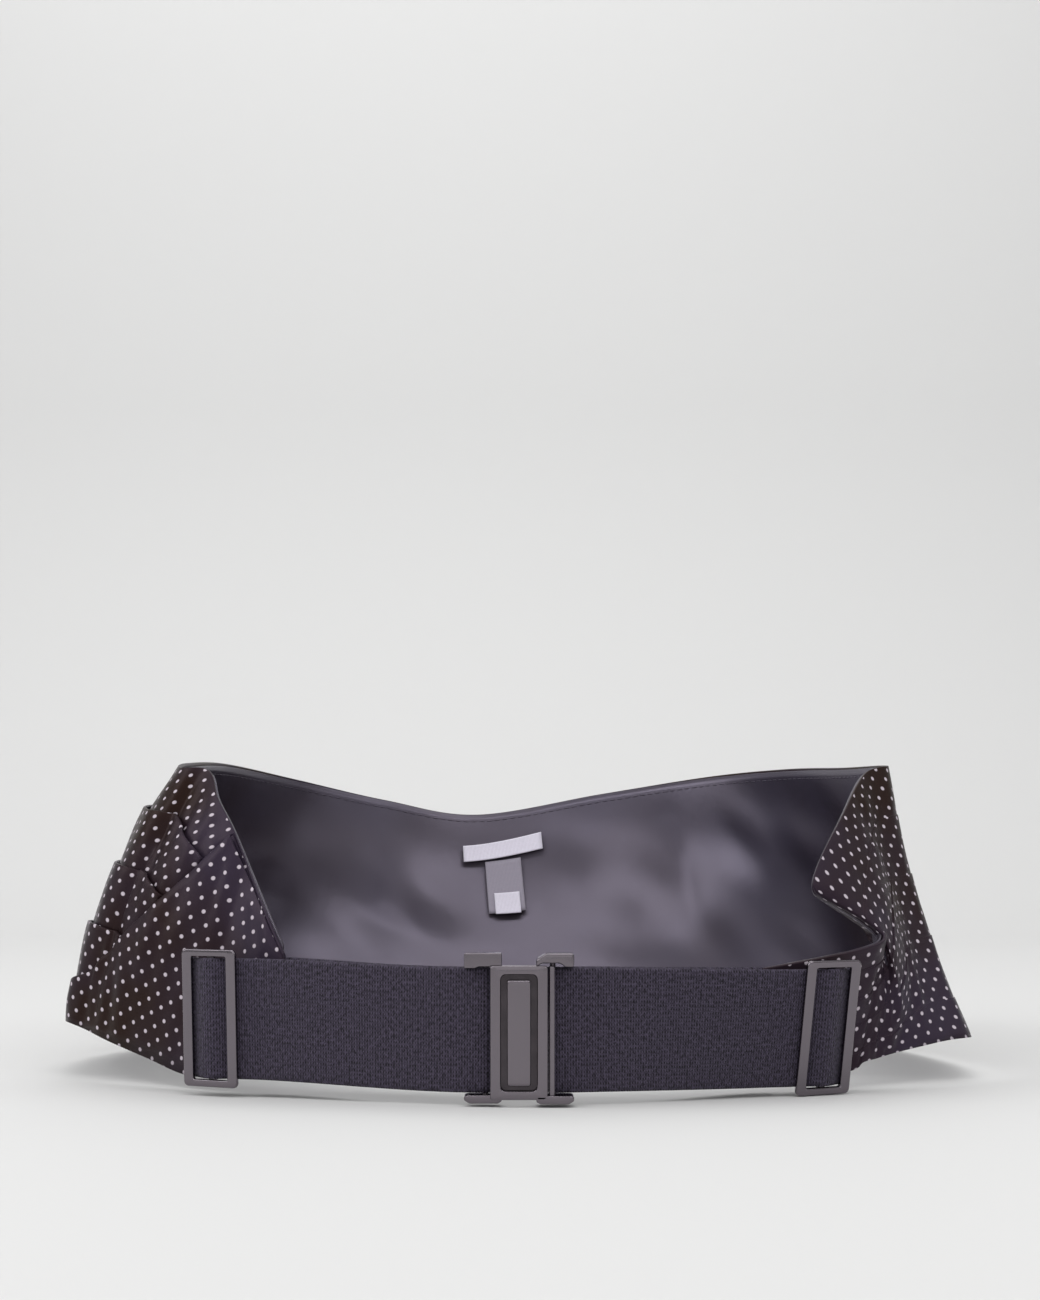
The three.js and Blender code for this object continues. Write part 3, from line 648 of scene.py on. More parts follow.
FOLD_ROWS = (12, 4)
FLAP_SEAM, TIP_SEAM = 6.5, 19.7
FLAP_RUN = np.array([0.82, -0.57, 0.0])
FLAP_TURN = math.radians(26)
BETWEEN_DOT_ROWS = 1.75
# Rounding of a faded pleat's edge and what a full fold adds, and the rows above the last pleat.
FLAT_ROUNDING, FOLD_ROUNDING, TOP_ROWS = 0.06, 0.5, 16
INNER_ROWS = 16
# The folded top edge: how far out its rows stand, and how far above the edge.
TOP_HEM_OUT, TOP_HEM_RISE = (1.42, 0.85, 0.28), (0.22, 0.35, 0.22)
# Run of the band per section and its height, for the wrinkles.
WRINKLE_RUN, WRINKLE_HEIGHT = 33.0, 100


def cloth_run(positions, shares):
    """Lengths in millimetres along the band at each share from the middle of the front, and heights."""
    levels = np.linspace(0, 1, 12)
    points = middle_point(*np.meshgrid(positions, levels, indexing="ij"))
    steps = np.linalg.norm(np.diff(points, axis=0), axis=-1)
    along = np.concatenate([np.zeros((1, len(levels))), np.cumsum(steps, axis=0)])
    along = along - along[int(len(along) * FRONT_CENTRE / LAST)]
    run = np.stack([np.interp(share, levels, lengths) for share, lengths in zip(shares, along)])
    height = np.linalg.norm(np.diff(points, axis=1), axis=-1).sum(axis=1)
    return run, shares * height[:, None]


def front_cloth(positions, shares, points, faces, outer_rows):
    """Where each corner of the front lies on its cloth: the flap is cut turned, the tip is a piece of its
    own, and the hem shows no dots."""
    run, rise = cloth_run(positions, shares)
    flap_run = points @ FLAP_RUN
    cosine, sine = math.cos(FLAP_TURN), math.sin(FLAP_TURN)
    flap = (cosine * flap_run - sine * points[..., 2], sine * flap_run + cosine * points[..., 2])
    pieces = [(run, rise), flap, (run - run[-1:], rise), (run, np.full_like(run, BETWEEN_DOT_ROWS))]
    maps = np.stack([np.stack(piece, axis=-1).reshape(-1, 2) for piece in pieces])
    rows = shares.shape[1]
    piece_of = np.zeros((len(positions) - 1, rows), dtype=int)
    piece_of[positions[:-1] < FLAP_SEAM, :sum(FOLD_ROWS) - 1] = 1
    piece_of[positions[:-1] >= TIP_SEAM] = 2
    piece_of[:, outer_rows - 1:] = 3
    caps = len(faces) - piece_of.size
    piece_of = np.concatenate([piece_of.ravel(), np.full(caps, 3)])
    corners = np.concatenate([np.asarray(face) for face in faces])
    return maps[np.repeat(piece_of, [len(face) for face in faces]), corners] / MM_PER_UV


def flap_edge(position):
    """Share of the height reached by the lowest pleat's edge, a flap that climbs on the left end."""
    climb = (1 - np.clip((position - FLAP_TOP_AT) / (FLAP_LOW_AT - FLAP_TOP_AT), 0, 1)) ** 2
    return PLEAT_EDGES[0] + (0.985 - PLEAT_EDGES[0]) * climb


def pleat_edge(index, position):
    edge = flap_edge(position)
    return np.maximum(PLEAT_EDGES[index], edge + 0.006 * index)


def pleat_fade(index, position):
    left = ramp(position, LEFT_FLAT_TO, LEFT_PLEATED_FROM) if index == 0 else ramp(
        PLEAT_EDGES[index] - flap_edge(position), 0.0, 0.05)
    right = RIGHT_FLAT_FROM[index]
    return left * (1 - ramp(position, right, right + RIGHT_FLAT_RUN))


def front_profile(position, step, pocket):
    """Rows of share and offset up the outer face at each position: out over each fold, down into its
    pocket and up again."""
    shares, offsets = [], []

    def row(share, offset):
        shares.append(share)
        offsets.append(offset)

    start, start_offset = np.zeros_like(position), np.full_like(position, FRONT_FACE)
    for index in range(len(PLEAT_EDGES)):
        edge = pleat_edge(index, position)
        fade = pleat_fade(index, position)
        radius = FLAT_ROUNDING + FOLD_ROUNDING * fade
        reach = radius / RISE
        top = FRONT_FACE + step * fade
        for t in np.linspace(0, 1, FOLD_ROWS[0])[(1 if index else 0):]:
            swell = t ** 0.8
            row(start + (edge - reach - start) * t, start_offset + (top - start_offset) * swell)
        for turn in range(1, FOLD_ROWS[1] + 1):
            angle = math.pi * turn / FOLD_ROWS[1]
            row(edge - reach + reach * math.sin(angle), top - radius + radius * math.cos(angle))
        deep = np.maximum(edge - reach - pocket / RISE * fade - 0.0015, start + 0.002)
        row(edge - reach - (edge - reach - deep) * 0.5, top - 2 * radius - 0.1 * fade)
        row(deep, np.full_like(position, FRONT_FACE - 0.05))
        start, start_offset = deep, np.full_like(position, FRONT_FACE - 0.35)
        row(start, start_offset)
    for t in np.linspace(0, 1, TOP_ROWS)[1:]:
        row(start + (1 - start) * t, start_offset + (FRONT_FACE - start_offset) * min(1.0, 3 * t))
    return np.stack(shares, axis=1), np.stack(offsets, axis=1)


class CUMMERBUND_OT_front(bpy.types.Operator):
    """Make the pleated pin-dot front"""
    bl_idname = "cummerbund.front"
    bl_label = "Pleated front"

    def execute(self, context):
        band = context.scene.cummerbund_band
        positions = np.linspace(0, LAST, LAST * band.columns + 1)
        shares, offsets = front_profile(positions, band.pleat_step / MM, band.pleat_pocket / MM)
        inner_shares = np.linspace(1, 0, INNER_ROWS)
        grid = positions[:, None] + np.zeros_like(shares)
        length, height = grid * WRINKLE_RUN, shares * WRINKLE_HEIGHT
        wrinkle = 0.35 * soft_noise(length, height, 11, 60.0, 45.0)
        wrinkle = wrinkle + 0.25 * soft_noise(length, height, 12, 21.0, 60.0)
        drawn = 0.55 * soft_noise(length * 0.62 - height * 0.78, length + height, 21, 24.0, 150.0)
        wrinkle = wrinkle + drawn * (1 - ramp(grid, 5.0, 7.0)) + 0.8 * drawn * ramp(grid, 16.0, 17.5)
        quiet = ramp(shares, 0.0, 0.08) * (1 - ramp(shares, 0.93, 1.0))
        outer = band_point(grid, shares, offsets + wrinkle * quiet * 0.8)
        inner = band_point(positions[:, None], inner_shares[None, :], GAP / 2)
        top_hem = band_point(positions[:, None], np.ones((1, len(TOP_HEM_OUT))), np.array([TOP_HEM_OUT]))
        top_hem[:, :, 2] += np.array(TOP_HEM_RISE)
        ring = np.concatenate([outer, top_hem, inner], axis=1)
        count = ring.shape[1]
        faces = ring_faces(len(positions), count)
        outer_count = outer.shape[1] + 2
        for c in (0, len(positions) - 1):
            first = [c * count + r for r in range(outer_count)]
            second = [c * count + r for r in range(count - 1, outer_count - 1, -1)]
            up_first = np.linspace(0, 1, len(first))
            up_second = np.linspace(0, 1, len(second))
            faces += stitched(first, second, up_first, up_second)
        outer_rows = outer.shape[1]
        hem_and_inner = np.concatenate([np.ones(len(TOP_HEM_OUT)), inner_shares])
        ring_shares = np.concatenate([shares, np.tile(hem_and_inner, (len(positions), 1))], axis=1)
        uv = front_cloth(positions, ring_shares, ring, faces, outer_rows)
        front = mesh_object("pleated_satin_front", to_frame(ring.reshape(-1, 3)), faces, uv)
        finished(front, satin_material(), "satin_dotted", "pleated_front")
        return {"FINISHED"}


# Soft folds of the lining: section position, share of the height, half length and half height in
# millimetres, and how far each stands in.
LINING_FOLDS = (
    (8.6, 0.62, 22, 20, 3.0), (9.1, 0.66, 24, 17, 3.2), (9.7, 0.28, 26, 16, 3.0),
    (10.25, 0.62, 12, 26, -1.6), (10.6, 0.60, 17, 18, 2.6), (12.05, 0.56, 15, 19, 3.0),
    (12.35, 0.36, 26, 15, 2.8), (12.6, 0.75, 6, 28, -1.6), (13.1, 0.57, 22, 17, 3.2),
    (13.9, 0.66, 24, 18, 2.6), (14.4, 0.35, 20, 18, 2.4),
)
SECTION_RUN, LINING_HEIGHT = 51.0, 105
LINING_END, LINING_EASE = 0.33, 0.1
# The row of stitches under the top edge: its height, pitch, stitch length and thread radius, and how
# far it stands off the lining's face.
SEAM_SHARE, STITCH_PITCH, STITCH_LENGTH, THREAD_RADIUS, SEAM_OFF = 0.968, 3.4, 2.3, 0.24, 0.08


def lining_slack(position, share):
    """How far the lining stands in from the front, in millimetres, before it is drawn in at its edges."""
    length, height = position * SECTION_RUN, share * LINING_HEIGHT
    slack = 1.2 + 1.1 * soft_noise(length, height, 5, 95.0, 58.0)
    slack = slack + 0.6 * soft_noise(length, height, 6, 40.0, 44.0)
    for at, up, half_length, half_height, depth in LINING_FOLDS:
        along = (length - at * SECTION_RUN) / half_length
        above = (height - up * LINING_HEIGHT) / half_height
        slack = slack + depth * np.exp(-along**2 - above**2)
    under_label = np.exp(-((position - FRONT_CENTRE) / 0.5) ** 2)
    return np.clip(slack, 0, 5) * (1 - 0.75 * under_label)


def lining_fullness(position, share):
    """The share of its slack that the lining has, down to 0 at its edges and towards the tips."""
    return np.sin(math.pi * share) ** 0.6 * ramp(position, 2.0, 6.0) * (1 - ramp(position, 14.5, 16.5))


class CUMMERBUND_OT_lining(bpy.types.Operator):
    """Make the lining, eased a little full inside the front"""
    bl_idname = "cummerbund.lining"
    bl_label = "Lining"

    def execute(self, context):
        positions = np.linspace(LINING_END, LAST - LINING_END, 330)
        shares = np.linspace(0.006, 0.997, 46)
        grid, up = np.meshgrid(positions, shares, indexing="ij")
        inward = GAP / 2 + LINING_EASE + lining_slack(grid, up) * lining_fullness(grid, up)
        outer = band_point(grid, up, -inward)
        inner = band_point(grid, up, -inward - LINING_THICK)
        lining = sheet_object("lining_satin_cloth", inner, outer, cloth_lengths(outer))
        sewn = positions[6:-6]
        reach = lining_slack(sewn, SEAM_SHARE) * lining_fullness(sewn, SEAM_SHARE)
        stood_off = GAP / 2 + LINING_EASE + LINING_THICK + SEAM_OFF + reach
        seam = band_point(sewn, SEAM_SHARE, -stood_off)
        add_stitches(lining, seam, STITCH_PITCH, STITCH_LENGTH, THREAD_RADIUS)
        finished(lining, lining_material(), "lining_satin", "lining")
        return {"FINISHED"}


PALE_TAPE, GREY_TAPE = (0.80, 0.76, 0.88), (0.33, 0.30, 0.37)


class CUMMERBUND_OT_labels(bpy.types.Operator):
    """Make the blank label and its tabs on the lining"""
    bl_idname = "cummerbund.labels"
    bl_label = "Labels"

    def execute(self, context):
        pale = tape_material("pale tape", PALE_TAPE)
        grey = tape_material("grey tape", GREY_TAPE)
        rows = (
            ("woven_label_tape", "woven_label", pale, "label", FRONT_CENTRE, 0.33, 0.80, 0.87, 0.045, 3.6),
            ("size_tab_tape", "size_tab", grey, "tab", FRONT_CENTRE + 0.01, 0.145, 0.56, 0.79, 0.02, 3.3),
            ("care_tab_tape", "care_tab", pale, "label", FRONT_CENTRE + 0.02, 0.10, 0.55, 0.645, 0.0, 4.2),
        )
        for name, node, material, slot, centre, half, low, high, tilt, depth in rows:
            across = np.linspace(-half, half, 18)
            up = np.linspace(0, 1, 14)
            grid, rise = np.meshgrid(across, up, indexing="ij")
            share = low + (high - low) * rise + tilt * grid
            curl = 0.5 * (1 - rise) ** 2
            outer = band_point(centre + grid, share, -depth - curl)
            inner = band_point(centre + grid, share, -depth - curl - TAPE_THICK)
            tape = sheet_object(name, inner, outer, cloth_lengths(outer) + 1.0)
            finished(tape, material, slot, node)
        return {"FINISHED"}


# The elastic

def sweep_at(out):
    reach = SLIDER_CENTRE - CLASP_BAR_AT
    return STRAP_SWEEP * (np.maximum(0, out - CLASP_BAR_AT) / reach) ** STRAP_SWEEP_POWER


SLIDER_SEAT = SLIDER_THICK / 2 + GAP + STRAP_THICK / 2
SLIDER_PLANE = float(sweep_at(SLIDER_CENTRE)) - SLIDER_SEAT


def strap_line():
    """The elastic's middle line from above, right side: sewn end, clasp bar, adjuster."""
    tip = HALF_WIDTH * SECTIONS[-1][0] + SEWN_OVERLAP
    line = []
    for out in np.linspace(tip, CLASP_BAR_AT, 30):
        setback = SEWN_SETBACK * float(ramp(out, tip - SETBACK_FROM, tip - SETBACK_TO))
        line.append((out, float(sweep_at(out)) + LOOP_SPACING + setback))
    radius = LOOP_SPACING / 2
    for turn in np.linspace(0, math.pi, 14)[1:-1]:
        line.append((CLASP_BAR_AT - radius * math.sin(turn), radius + radius * math.cos(turn)))
    half_width, inner_edge = SLIDER_WIDTH / 2, SLIDER_WIDTH / 2 - SLIDER_BAR
    over = MIDDLE_BAR_WIDTH / 2 + 0.5
    bridge = SLIDER_THICK / 2 - MIDDLE_BAR_SINK - GAP - STRAP_THICK / 2
    dip = SLIDER_SEAT - 0.45
    run = [(-half_width - 1, SLIDER_SEAT), (-inner_edge - 0.2, SLIDER_SEAT), (-inner_edge + 0.9, dip),
           (-over - 0.5, bridge + 0.25), (-over + 0.5, bridge - 0.12), (0, bridge - 0.25),
           (over - 0.5, bridge - 0.12), (over + 0.5, bridge + 0.25), (inner_edge - 0.9, dip),
           (inner_edge + 0.2, SLIDER_SEAT), (half_width - 1, SLIDER_SEAT)]
    cosine, sine = math.cos(SLIDER_YAW), math.sin(SLIDER_YAW)
    seated = [(SLIDER_CENTRE + u * cosine - v * sine, SLIDER_PLANE + u * sine + v * cosine) for u, v in run]
    arrive = seated[0][0] - 6
    for out in np.linspace(CLASP_BAR_AT, arrive, 36):
        line.append((out, float(sweep_at(out))))
    return np.array(line + seated)


def smoothed(line, spacing):
    """The line run through again at even spacing, with its corners eased."""
    for _ in range(2):
        a, b = line[:-1], line[1:]
        cut = np.empty((2 * len(a), 2))
        cut[0::2], cut[1::2] = 0.75 * a + 0.25 * b, 0.25 * a + 0.75 * b
        line = np.concatenate([line[:1], cut[1:-1], line[-1:]])
    length = np.concatenate([[0], np.cumsum(np.linalg.norm(np.diff(line, axis=0), axis=1))])
    even = np.linspace(0, length[-1], int(length[-1] / spacing))
    return np.stack([np.interp(even, length, line[:, k]) for k in (0, 1)], axis=1), even


# The elastic's rounded edge, and the fine pressed line beside it.
EDGE_ROUNDING, EDGE_LINE_IN, EDGE_LINE_WIDTH = 0.7, 2.4, 0.5


def upright_of(pitch):
    turned = Matrix.Rotation(SLIDER_YAW, 3, "Z") @ Vector((0, -math.sin(pitch), math.cos(pitch)))
    return np.array(turned)


def elastic_piece(name, side, lift, pitch):
    line, even = smoothed(strap_line(), 0.7)
    way = np.gradient(line, axis=0)
    way = way / np.linalg.norm(way, axis=1, keepdims=True)
    normal = np.stack([-way[:, 1], way[:, 0]], axis=1)
    across = np.linspace(-1, 1, 42)
    half = STRAP_WIDTH / 2
    out = np.abs(across) * half
    rounding = np.clip((out - half + EDGE_ROUNDING) / EDGE_ROUNDING, 0, 1)
    bead = STRAP_THICK / 2 * np.sqrt(np.clip(1 - rounding ** 2, 0.02, 1))
    bead = bead * (1 - 0.08 * np.exp(-((out - (half - EDGE_LINE_IN)) / EDGE_LINE_WIDTH) ** 2))
    middle = STRAP_BOTTOM + half
    share = ramp(line[:, 0], CLASP_BAR_AT + 6, SLIDER_CENTRE - SLIDER_WIDTH / 2 - 1)
    upright = (1 - share)[:, None] * np.array([0, 0, 1]) + share[:, None] * upright_of(pitch)
    sides = []
    for face in (1, -1):
        flat = line[:, None, :] + normal[:, None, :] * (face * bead)[None, :, None]
        rise = (across * half)[None, :, None] * upright[:, None, :]
        points = np.concatenate([flat, np.zeros(flat.shape[:2] + (1,))], axis=2) + rise
        points[:, :, 2] += middle + lift * share[:, None]
        points[:, :, 0] *= side
        sides.append(points)
    uv = np.stack(np.broadcast_arrays(even[:, None], across[None, :] * half), axis=-1) / MM_PER_UV
    obj = sheet_object(name, sides[1], sides[0], uv)
    return obj, float(even[-1]) * MM


class CUMMERBUND_OT_elastic(bpy.types.Operator):
    """Make the two lengths of elastic"""
    bl_idname = "cummerbund.elastic"
    bl_label = "Elastic"

    def execute(self, context):
        rows = (("elastic_left", "strap_left", -1, LEFT_LIFT, LEFT_PITCH, "clasp_hook", "slider_left"),
                ("elastic_right", "strap_right", 1, RIGHT_LIFT, RIGHT_PITCH, "clasp_eye", "slider_right"))
        for name, node, side, lift, pitch, hold, adjuster in rows:
            piece, length = elastic_piece(name, side, lift, pitch)
            finished(piece, elastic_material(), "elastic", node)
        return {"FINISHED"}


# The metal fittings

CORNER_POINTS = 7


def rounded_loop(width, height, corner):
    points = []
    for cx, cz, start in ((1, -1, -90), (1, 1, 0), (-1, 1, 90), (-1, -1, 180)):
        for i in range(CORNER_POINTS):
            angle = math.radians(start + 90 * i / (CORNER_POINTS - 1))
            points.append((cx * (width / 2 - corner) + corner * math.cos(angle),
                           cz * (height / 2 - corner) + corner * math.sin(angle)))
    return np.array(points)


def ring_plate(work, outer, inner, front, thick, bevel, centre=(0.0, 0.0)):
    """A plate with a window, its edges rounded; loops have points one for one."""
    way = outer - inner
    reach = np.linalg.norm(way, axis=1, keepdims=True)
    way = way / reach
    back, b = front + thick, bevel
    rows = [(inner + way * b, front), (outer - way * b, front), (outer - way * 0.3 * b, front + 0.3 * b),
            (outer, front + b), (outer, back - b), (outer - way * 0.3 * b, back - 0.3 * b),
            (outer - way * b, back), (inner + way * b, back), (inner + way * 0.3 * b, back - 0.3 * b),
            (inner, back - b), (inner, front + b), (inner + way * 0.3 * b, front + 0.3 * b)]
    verts = [[work.verts.new((p[0] + centre[0], y, p[1] + centre[1])) for p in loop] for loop, y in rows]
    count = len(outer)
    for r in range(len(rows)):
        s = (r + 1) % len(rows)
        for i in range(count):
            j = (i + 1) % count
            work.faces.new((verts[r][i], verts[r][j], verts[s][j], verts[s][i]))


def block(work, outline, front, thick, bevel):
    """A plate drawn by its outline in width and height, with rounded edges."""
    face = work.faces.new([work.verts.new((x, front, z)) for x, z in outline])
    side = bmesh.ops.extrude_face_region(work, geom=[face])
    moved = [v for v in side["geom"] if isinstance(v, bmesh.types.BMVert)]
    bmesh.ops.translate(work, verts=moved, vec=(0, thick, 0))
    edges = {e for v in moved for e in v.link_edges} | set(face.edges)
    bmesh.ops.bevel(work, geom=list(edges), offset=bevel, segments=3, profile=0.6, affect="EDGES",
                    clamp_overlap=True)


def rod(work, x, y, low, high, radius):
    turned = Matrix.Translation((x, y, (low + high) / 2))
    bmesh.ops.create_cone(work, cap_ends=True, segments=24, radius1=radius, radius2=radius,
                          depth=high - low, matrix=turned)


def fitting(name, work, node, matrix=None):
    if matrix is not None:
        bmesh.ops.transform(work, matrix=matrix, verts=work.verts)
    bmesh.ops.transform(work, matrix=Matrix.Translation(DRAWING_ZERO), verts=work.verts)
    bmesh.ops.scale(work, vec=(MM, MM, MM), verts=work.verts)
    bmesh.ops.recalc_face_normals(work, faces=work.faces)
    mesh = bpy.data.meshes.new(name)
    work.to_mesh(mesh)
    work.free()
    mesh.polygons.foreach_set("use_smooth", [True] * len(mesh.polygons))
    obj = bpy.data.objects.new(name, mesh)
    bpy.context.scene.collection.objects.link(obj)
    weighted = obj.modifiers.new("even shading", "WEIGHTED_NORMAL")
    weighted.weight = 80
    return finished(obj, metal_material(), "gunmetal", node)


def slider_piece(name, node, side, lift, pitch, bevel):
    work = bmesh.new()
    outer = rounded_loop(SLIDER_WIDTH, SLIDER_HEIGHT, SLIDER_CORNER)
    window = SLIDER_WIDTH - 2 * SLIDER_BAR, STRAP_WIDTH + SLIDER_WINDOW_PLAY
    inner = rounded_loop(*window, SLIDER_WINDOW_CORNER)
    ring_plate(work, outer, inner, -SLIDER_THICK / 2, SLIDER_THICK, bevel)
    half, top = MIDDLE_BAR_WIDTH / 2, SLIDER_HEIGHT / 2 - 0.6
    bar = ((-half, -top), (half, -top), (half, top), (-half, top))
    block(work, bar, SLIDER_THICK / 2 - MIDDLE_BAR_SINK, MIDDLE_BAR_THICK, bevel * 0.8)
    centre = Vector((side * SLIDER_CENTRE, SLIDER_PLANE, STRAP_BOTTOM + STRAP_WIDTH / 2 + lift))
    turn = Matrix.Rotation(side * SLIDER_YAW, 4, "Z") @ Matrix.Rotation(pitch, 4, "X")
    return fitting(name, work, node, Matrix.Translation(centre) @ turn)


class CUMMERBUND_OT_adjusters(bpy.types.Operator):
    """Make the two adjusters"""
    bl_idname = "cummerbund.adjusters"
    bl_label = "Adjusters"

    def execute(self, context):
        bevel = context.scene.cummerbund_metal.bevel / MM
        slider_piece("adjuster_left", "slider_left", -1, LEFT_LIFT, LEFT_PITCH, bevel)
        slider_piece("adjuster_right", "slider_right", 1, RIGHT_LIFT, RIGHT_PITCH, bevel)
        return {"FINISHED"}


def mirrored(outline, side):
    points = [(side * x, z) for x, z in outline]
    return points if side > 0 else points[::-1]


class CUMMERBUND_OT_clasp(bpy.types.Operator):
    """Make the clasp's eye and hook"""
    bl_idname = "cummerbund.clasp"
    bl_label = "Clasp"

    def execute(self, context):
        bevel = context.scene.cummerbund_metal.bevel / MM
        middle = CLASP_BOTTOM + CLASP_HEIGHT / 2
        low, high = STRAP_BOTTOM - GAP, STRAP_BOTTOM + STRAP_WIDTH + GAP
        top_ear = [(EAR_INNER, high + 0.1), (EAR_INNER + 1.8, high + 1.2), (EAR_REACH - 4.2, high + 1.2),
                   (EAR_REACH - 2.6, high), (EAR_REACH, high), (EAR_REACH, high + 4.2),
                   (EAR_INNER + 3.0, high + 4.2), (EAR_INNER, high + 2.4)]
        bottom_ear = [(EAR_INNER, low - 1.9), (EAR_INNER + 1.2, low - 2.6), (EAR_REACH - 1.6, low - 2.6),
                      (EAR_REACH, low - 1.6), (EAR_REACH, low - 0.3), (EAR_REACH - 1.0, low),
                      (EAR_INNER, low)]
        ear_depth = LOOP_SPACING / 2 + CLASP_BAR_RADIUS

        eye = bmesh.new()
        outer = rounded_loop(CLASP_WIDTH, CLASP_HEIGHT, CLASP_CORNER)
        inner = rounded_loop(*CLASP_WINDOW, WINDOW_CORNER)
        ring_plate(eye, outer, inner, CLASP_FRONT, CLASP_THICK, bevel, (0.0, middle))
        for ear in (top_ear, bottom_ear):
            block(eye, mirrored(ear, 1), CLASP_FRONT, ear_depth - CLASP_FRONT, bevel * 1.4)
        start = CLASP_WIDTH / 2 + GAP
        rail = [(start, low - 0.5), (start + 1.8, low - 0.5), (start + 1.8, high + 0.5), (start, high + 0.5)]
        block(eye, rail, CLASP_FRONT + 1.4, 1.4, bevel)
        rod(eye, CLASP_BAR_AT, LOOP_SPACING / 2, low - 1.3, high + 1.3, CLASP_BAR_RADIUS)
        fitting("clasp_eye_plate", eye, "clasp_eye")

        hook = bmesh.new()
        rear_front = CLASP_FRONT + CLASP_THICK + GAP
        rear = [(-CLASP_WIDTH / 2, low - 0.5), (EAR_INNER + 1.2, low - 0.5), (EAR_INNER + 1.2, high + 0.5),
                (-CLASP_WIDTH / 2, high + 0.5)]
        block(hook, rear, rear_front, REAR_THICK, 0.4)
        half, tall = TONGUE[0] / 2, TONGUE[1] / 2
        tongue = [(-half, middle - tall), (half, middle - tall), (half, middle + tall),
                  (-half, middle + tall)]
        tongue_front = CLASP_FRONT - TONGUE_PROUD
        block(hook, tongue, tongue_front, rear_front + 0.6 - tongue_front, bevel * 1.7)
        square_ear = [(EAR_INNER, high + 0.1), (EAR_REACH - 4.2, high + 0.1), (EAR_REACH - 3.4, high - 0.4),
                      (EAR_REACH, high - 0.4), (EAR_REACH, high + 4.2), (EAR_INNER, high + 4.2)]
        for ear in (square_ear, bottom_ear):
            block(hook, mirrored(ear, -1), rear_front, ear_depth - rear_front, bevel * 1.4)
        rod(hook, -CLASP_BAR_AT, LOOP_SPACING / 2, low - 1.3, high + 1.3, CLASP_BAR_RADIUS)
        plate = fitting("clasp_hook_plate", hook, "clasp_hook")
        plate.data.materials.append(metal_material("gunmetal in painted shade", 0.22))
        # The rear plate's large front face, seen in the window beside the tongue, gets the gunmetal darkened
        # to 0.22 of its colour: painted shade.
        recess = (rear_front + DRAWING_ZERO[1]) * MM
        for face in plate.data.polygons:
            if abs(face.center.y - recess) < 0.1 * MM and face.area > (10 * MM) ** 2:
                face.material_index = 1
        return {"FINISHED"}


# The studio

# Soft lights: name, place, what each points at, size, and brightness as a share of the light setting.
SOFT_LIGHTS = (
    ("overhead", (-0.1, 0.95, 1.75), (0.15, 1.2, 0.3), (2.6, 1.3), 1.6),
    ("upper softbox", (-0.1, -0.75, 1.4), (0, 0.1, 0.05), (3.0, 0.42), 1.8),
    ("narrow strip", (0.0, -0.8, 1.25), (0, 0.1, 0.05), (2.6, 0.07), 9.0),
    ("left window", (-1.5, -0.4, 0.9), (0, 0, 0.05), (0.8, 1.2), 2.9),
    ("right window", (1.5, -0.3, 0.8), (0, 0, 0.05), (0.5, 1.0), 0.95),
    ("behind camera", (0, -1.9, 0.5), (0, 0, 0.05), (2.4, 1.0), 0.6),
)
SWEEP_GREY, AIR_LIGHT = (0.715, 0.715, 0.712), 0.4


def soft_light(name, place, target, size, brightness):
    light = bpy.data.lights.new(name, "AREA")
    light.shape = "RECTANGLE"
    light.size, light.size_y = size
    light.energy = brightness * math.pi * size[0] * size[1]
    lamp = bpy.data.objects.new(name, light)
    lamp.location = place
    lamp.rotation_euler = (Vector(target) - Vector(place)).to_track_quat("-Z", "Y").to_euler()
    bpy.context.scene.collection.objects.link(lamp)


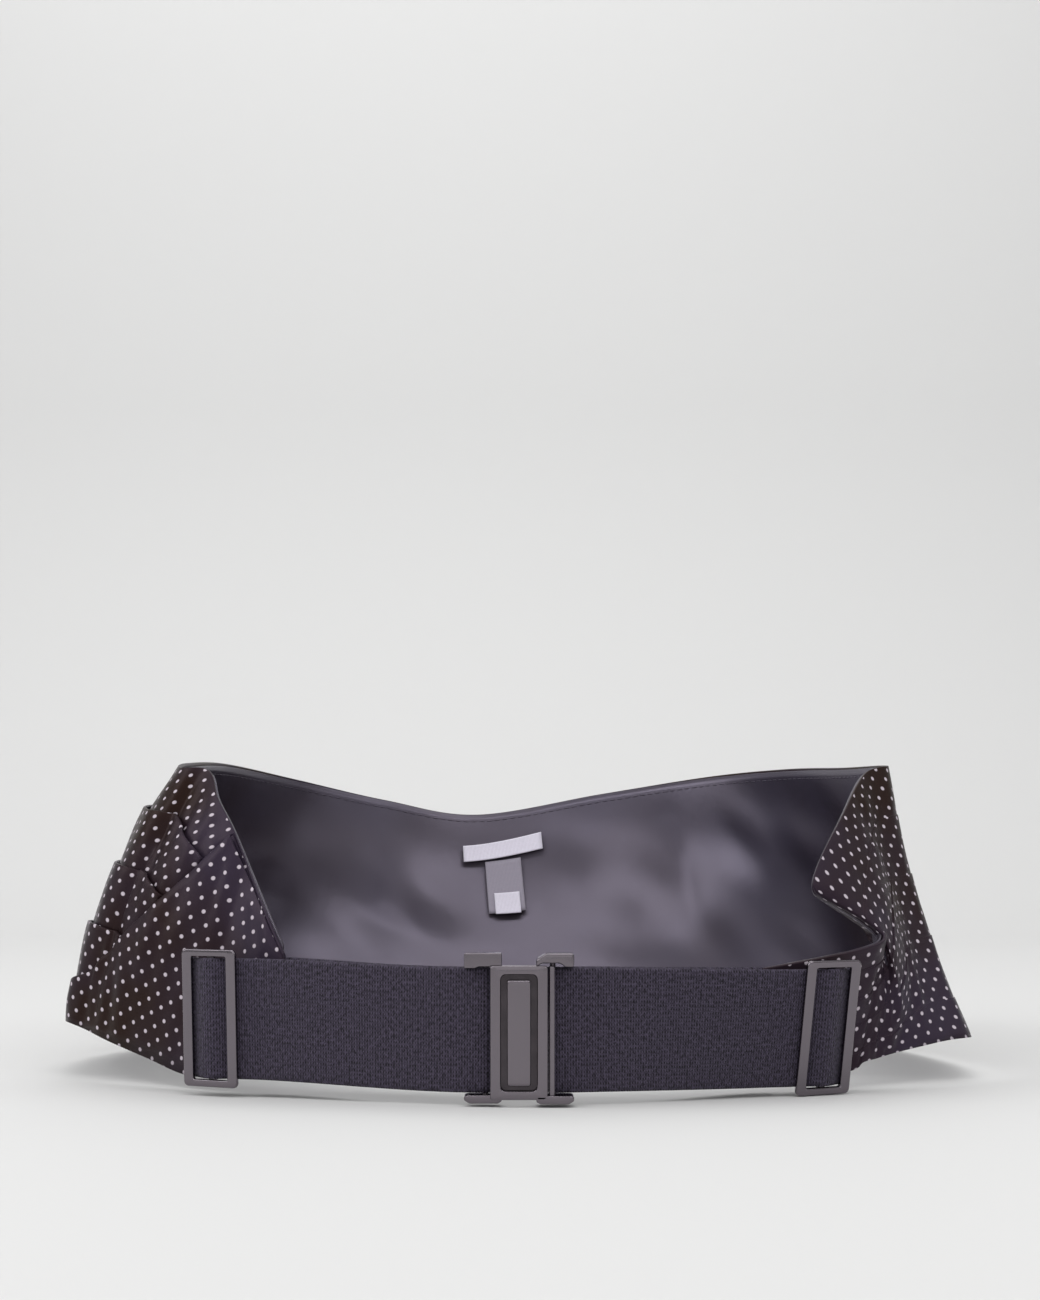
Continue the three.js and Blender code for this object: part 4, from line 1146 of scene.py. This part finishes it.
class CUMMERBUND_OT_stage(bpy.types.Operator):
    """Make the pale sweep, the soft lights and the camera"""
    bl_idname = "cummerbund.stage"
    bl_label = "Stage"

    def execute(self, context):
        settings = context.scene.cummerbund_stage
        half, near, bend, far, top = 3.0, -1.6, 0.9, 1.5, 2.6
        profile = [(near, 0.0), (bend, 0.0)]
        radius = far - bend
        for i in range(1, 17):
            angle = math.pi / 2 * i / 16
            profile.append((bend + radius * math.sin(angle), radius - radius * math.cos(angle)))
        profile.append((far, top))
        vertices = [(x, y, z) for x in (-half, half) for y, z in profile]
        count = len(profile)
        faces = [(i, i + 1, count + i + 1, count + i) for i in range(count - 1)]
        mesh = bpy.data.meshes.new("sweep")
        mesh.from_pydata(vertices, [], faces)
        mesh.polygons.foreach_set("use_smooth", [True] * len(mesh.polygons))
        floor = bpy.data.objects.new("sweep", mesh)
        context.scene.collection.objects.link(floor)
        material, tree, shader = new_material("pale paper", roughness=0.7, specular_ior_level=0.2)
        shader.inputs["Base Color"].default_value = opaque(SWEEP_GREY)
        mesh.materials.append(material)

        world = bpy.data.worlds.new("studio air")
        world.use_nodes = True
        air = world.node_tree.nodes["Background"]
        air.inputs["Color"].default_value = (1, 1, 1, 1)
        air.inputs["Strength"].default_value = AIR_LIGHT
        context.scene.world = world
        context.scene.view_settings.view_transform = "Standard"
        for name, place, target, size, brightness in SOFT_LIGHTS:
            soft_light(name, place, target, size, settings.key * brightness)

        lens = bpy.data.cameras.new("camera")
        lens.sensor_fit = "HORIZONTAL"
        lens.sensor_width = 36.0
        pixels_wide, pixels_high = 1040.0, 1300.0
        focal_pixels, vanish_x, vanish_y = 1848.0, 519.0, 850.0
        lens.lens = lens.sensor_width * focal_pixels / pixels_wide
        lens.shift_x = (pixels_wide / 2 - vanish_x) / pixels_wide
        lens.shift_y = (vanish_y - pixels_high / 2) / pixels_wide
        lens.clip_start, lens.clip_end = 0.01, 20
        camera = bpy.data.objects.new("camera", lens)
        camera.location = (DRAWING_ZERO[0] * MM, DRAWING_ZERO[1] * MM - settings.distance, settings.height)
        camera.rotation_euler = (math.pi / 2, 0, 0)
        context.scene.collection.objects.link(camera)
        context.scene.camera = camera
        return {"FINISHED"}


class CUMMERBUND_PT_panel(bpy.types.Panel):
    """Builds the cummerbund piece by piece"""
    bl_label = "Cummerbund"
    bl_idname = "CUMMERBUND_PT_panel"
    bl_space_type = "VIEW_3D"
    bl_region_type = "UI"
    bl_category = "Cummerbund"

    def draw(self, context):
        layout = self.layout
        for group in (context.scene.cummerbund_band, context.scene.cummerbund_elastic,
                      context.scene.cummerbund_metal, context.scene.cummerbund_stage):
            box = layout.box()
            for name in group.bl_rna.properties.keys():
                if name not in ("rna_type", "name"):
                    box.prop(group, name)
        for operator in OPERATORS:
            layout.operator(operator.bl_idname)


SETTINGS = (("cummerbund_band", BandSettings), ("cummerbund_elastic", ElasticSettings),
            ("cummerbund_metal", MetalSettings), ("cummerbund_stage", StageSettings))
OPERATORS = (CUMMERBUND_OT_stage, CUMMERBUND_OT_adjusters, CUMMERBUND_OT_clasp, CUMMERBUND_OT_elastic,
             CUMMERBUND_OT_lining, CUMMERBUND_OT_front, CUMMERBUND_OT_labels)
CLASSES = tuple(group for _, group in SETTINGS) + OPERATORS + (CUMMERBUND_PT_panel,)


def register():
    for item in CLASSES:
        bpy.utils.register_class(item)
    for name, group in SETTINGS:
        setattr(bpy.types.Scene, name, PointerProperty(type=group))


def unregister():
    for name, _ in SETTINGS:
        delattr(bpy.types.Scene, name)
    for item in reversed(CLASSES):
        bpy.utils.unregister_class(item)


def main():
    register()
    bpy.ops.cummerbund.stage()
    bpy.ops.cummerbund.adjusters()
    bpy.ops.cummerbund.clasp()
    bpy.ops.cummerbund.elastic()
    bpy.ops.cummerbund.lining()
    bpy.ops.cummerbund.front()
    bpy.ops.cummerbund.labels()


if __name__ == "__main__":
    main()
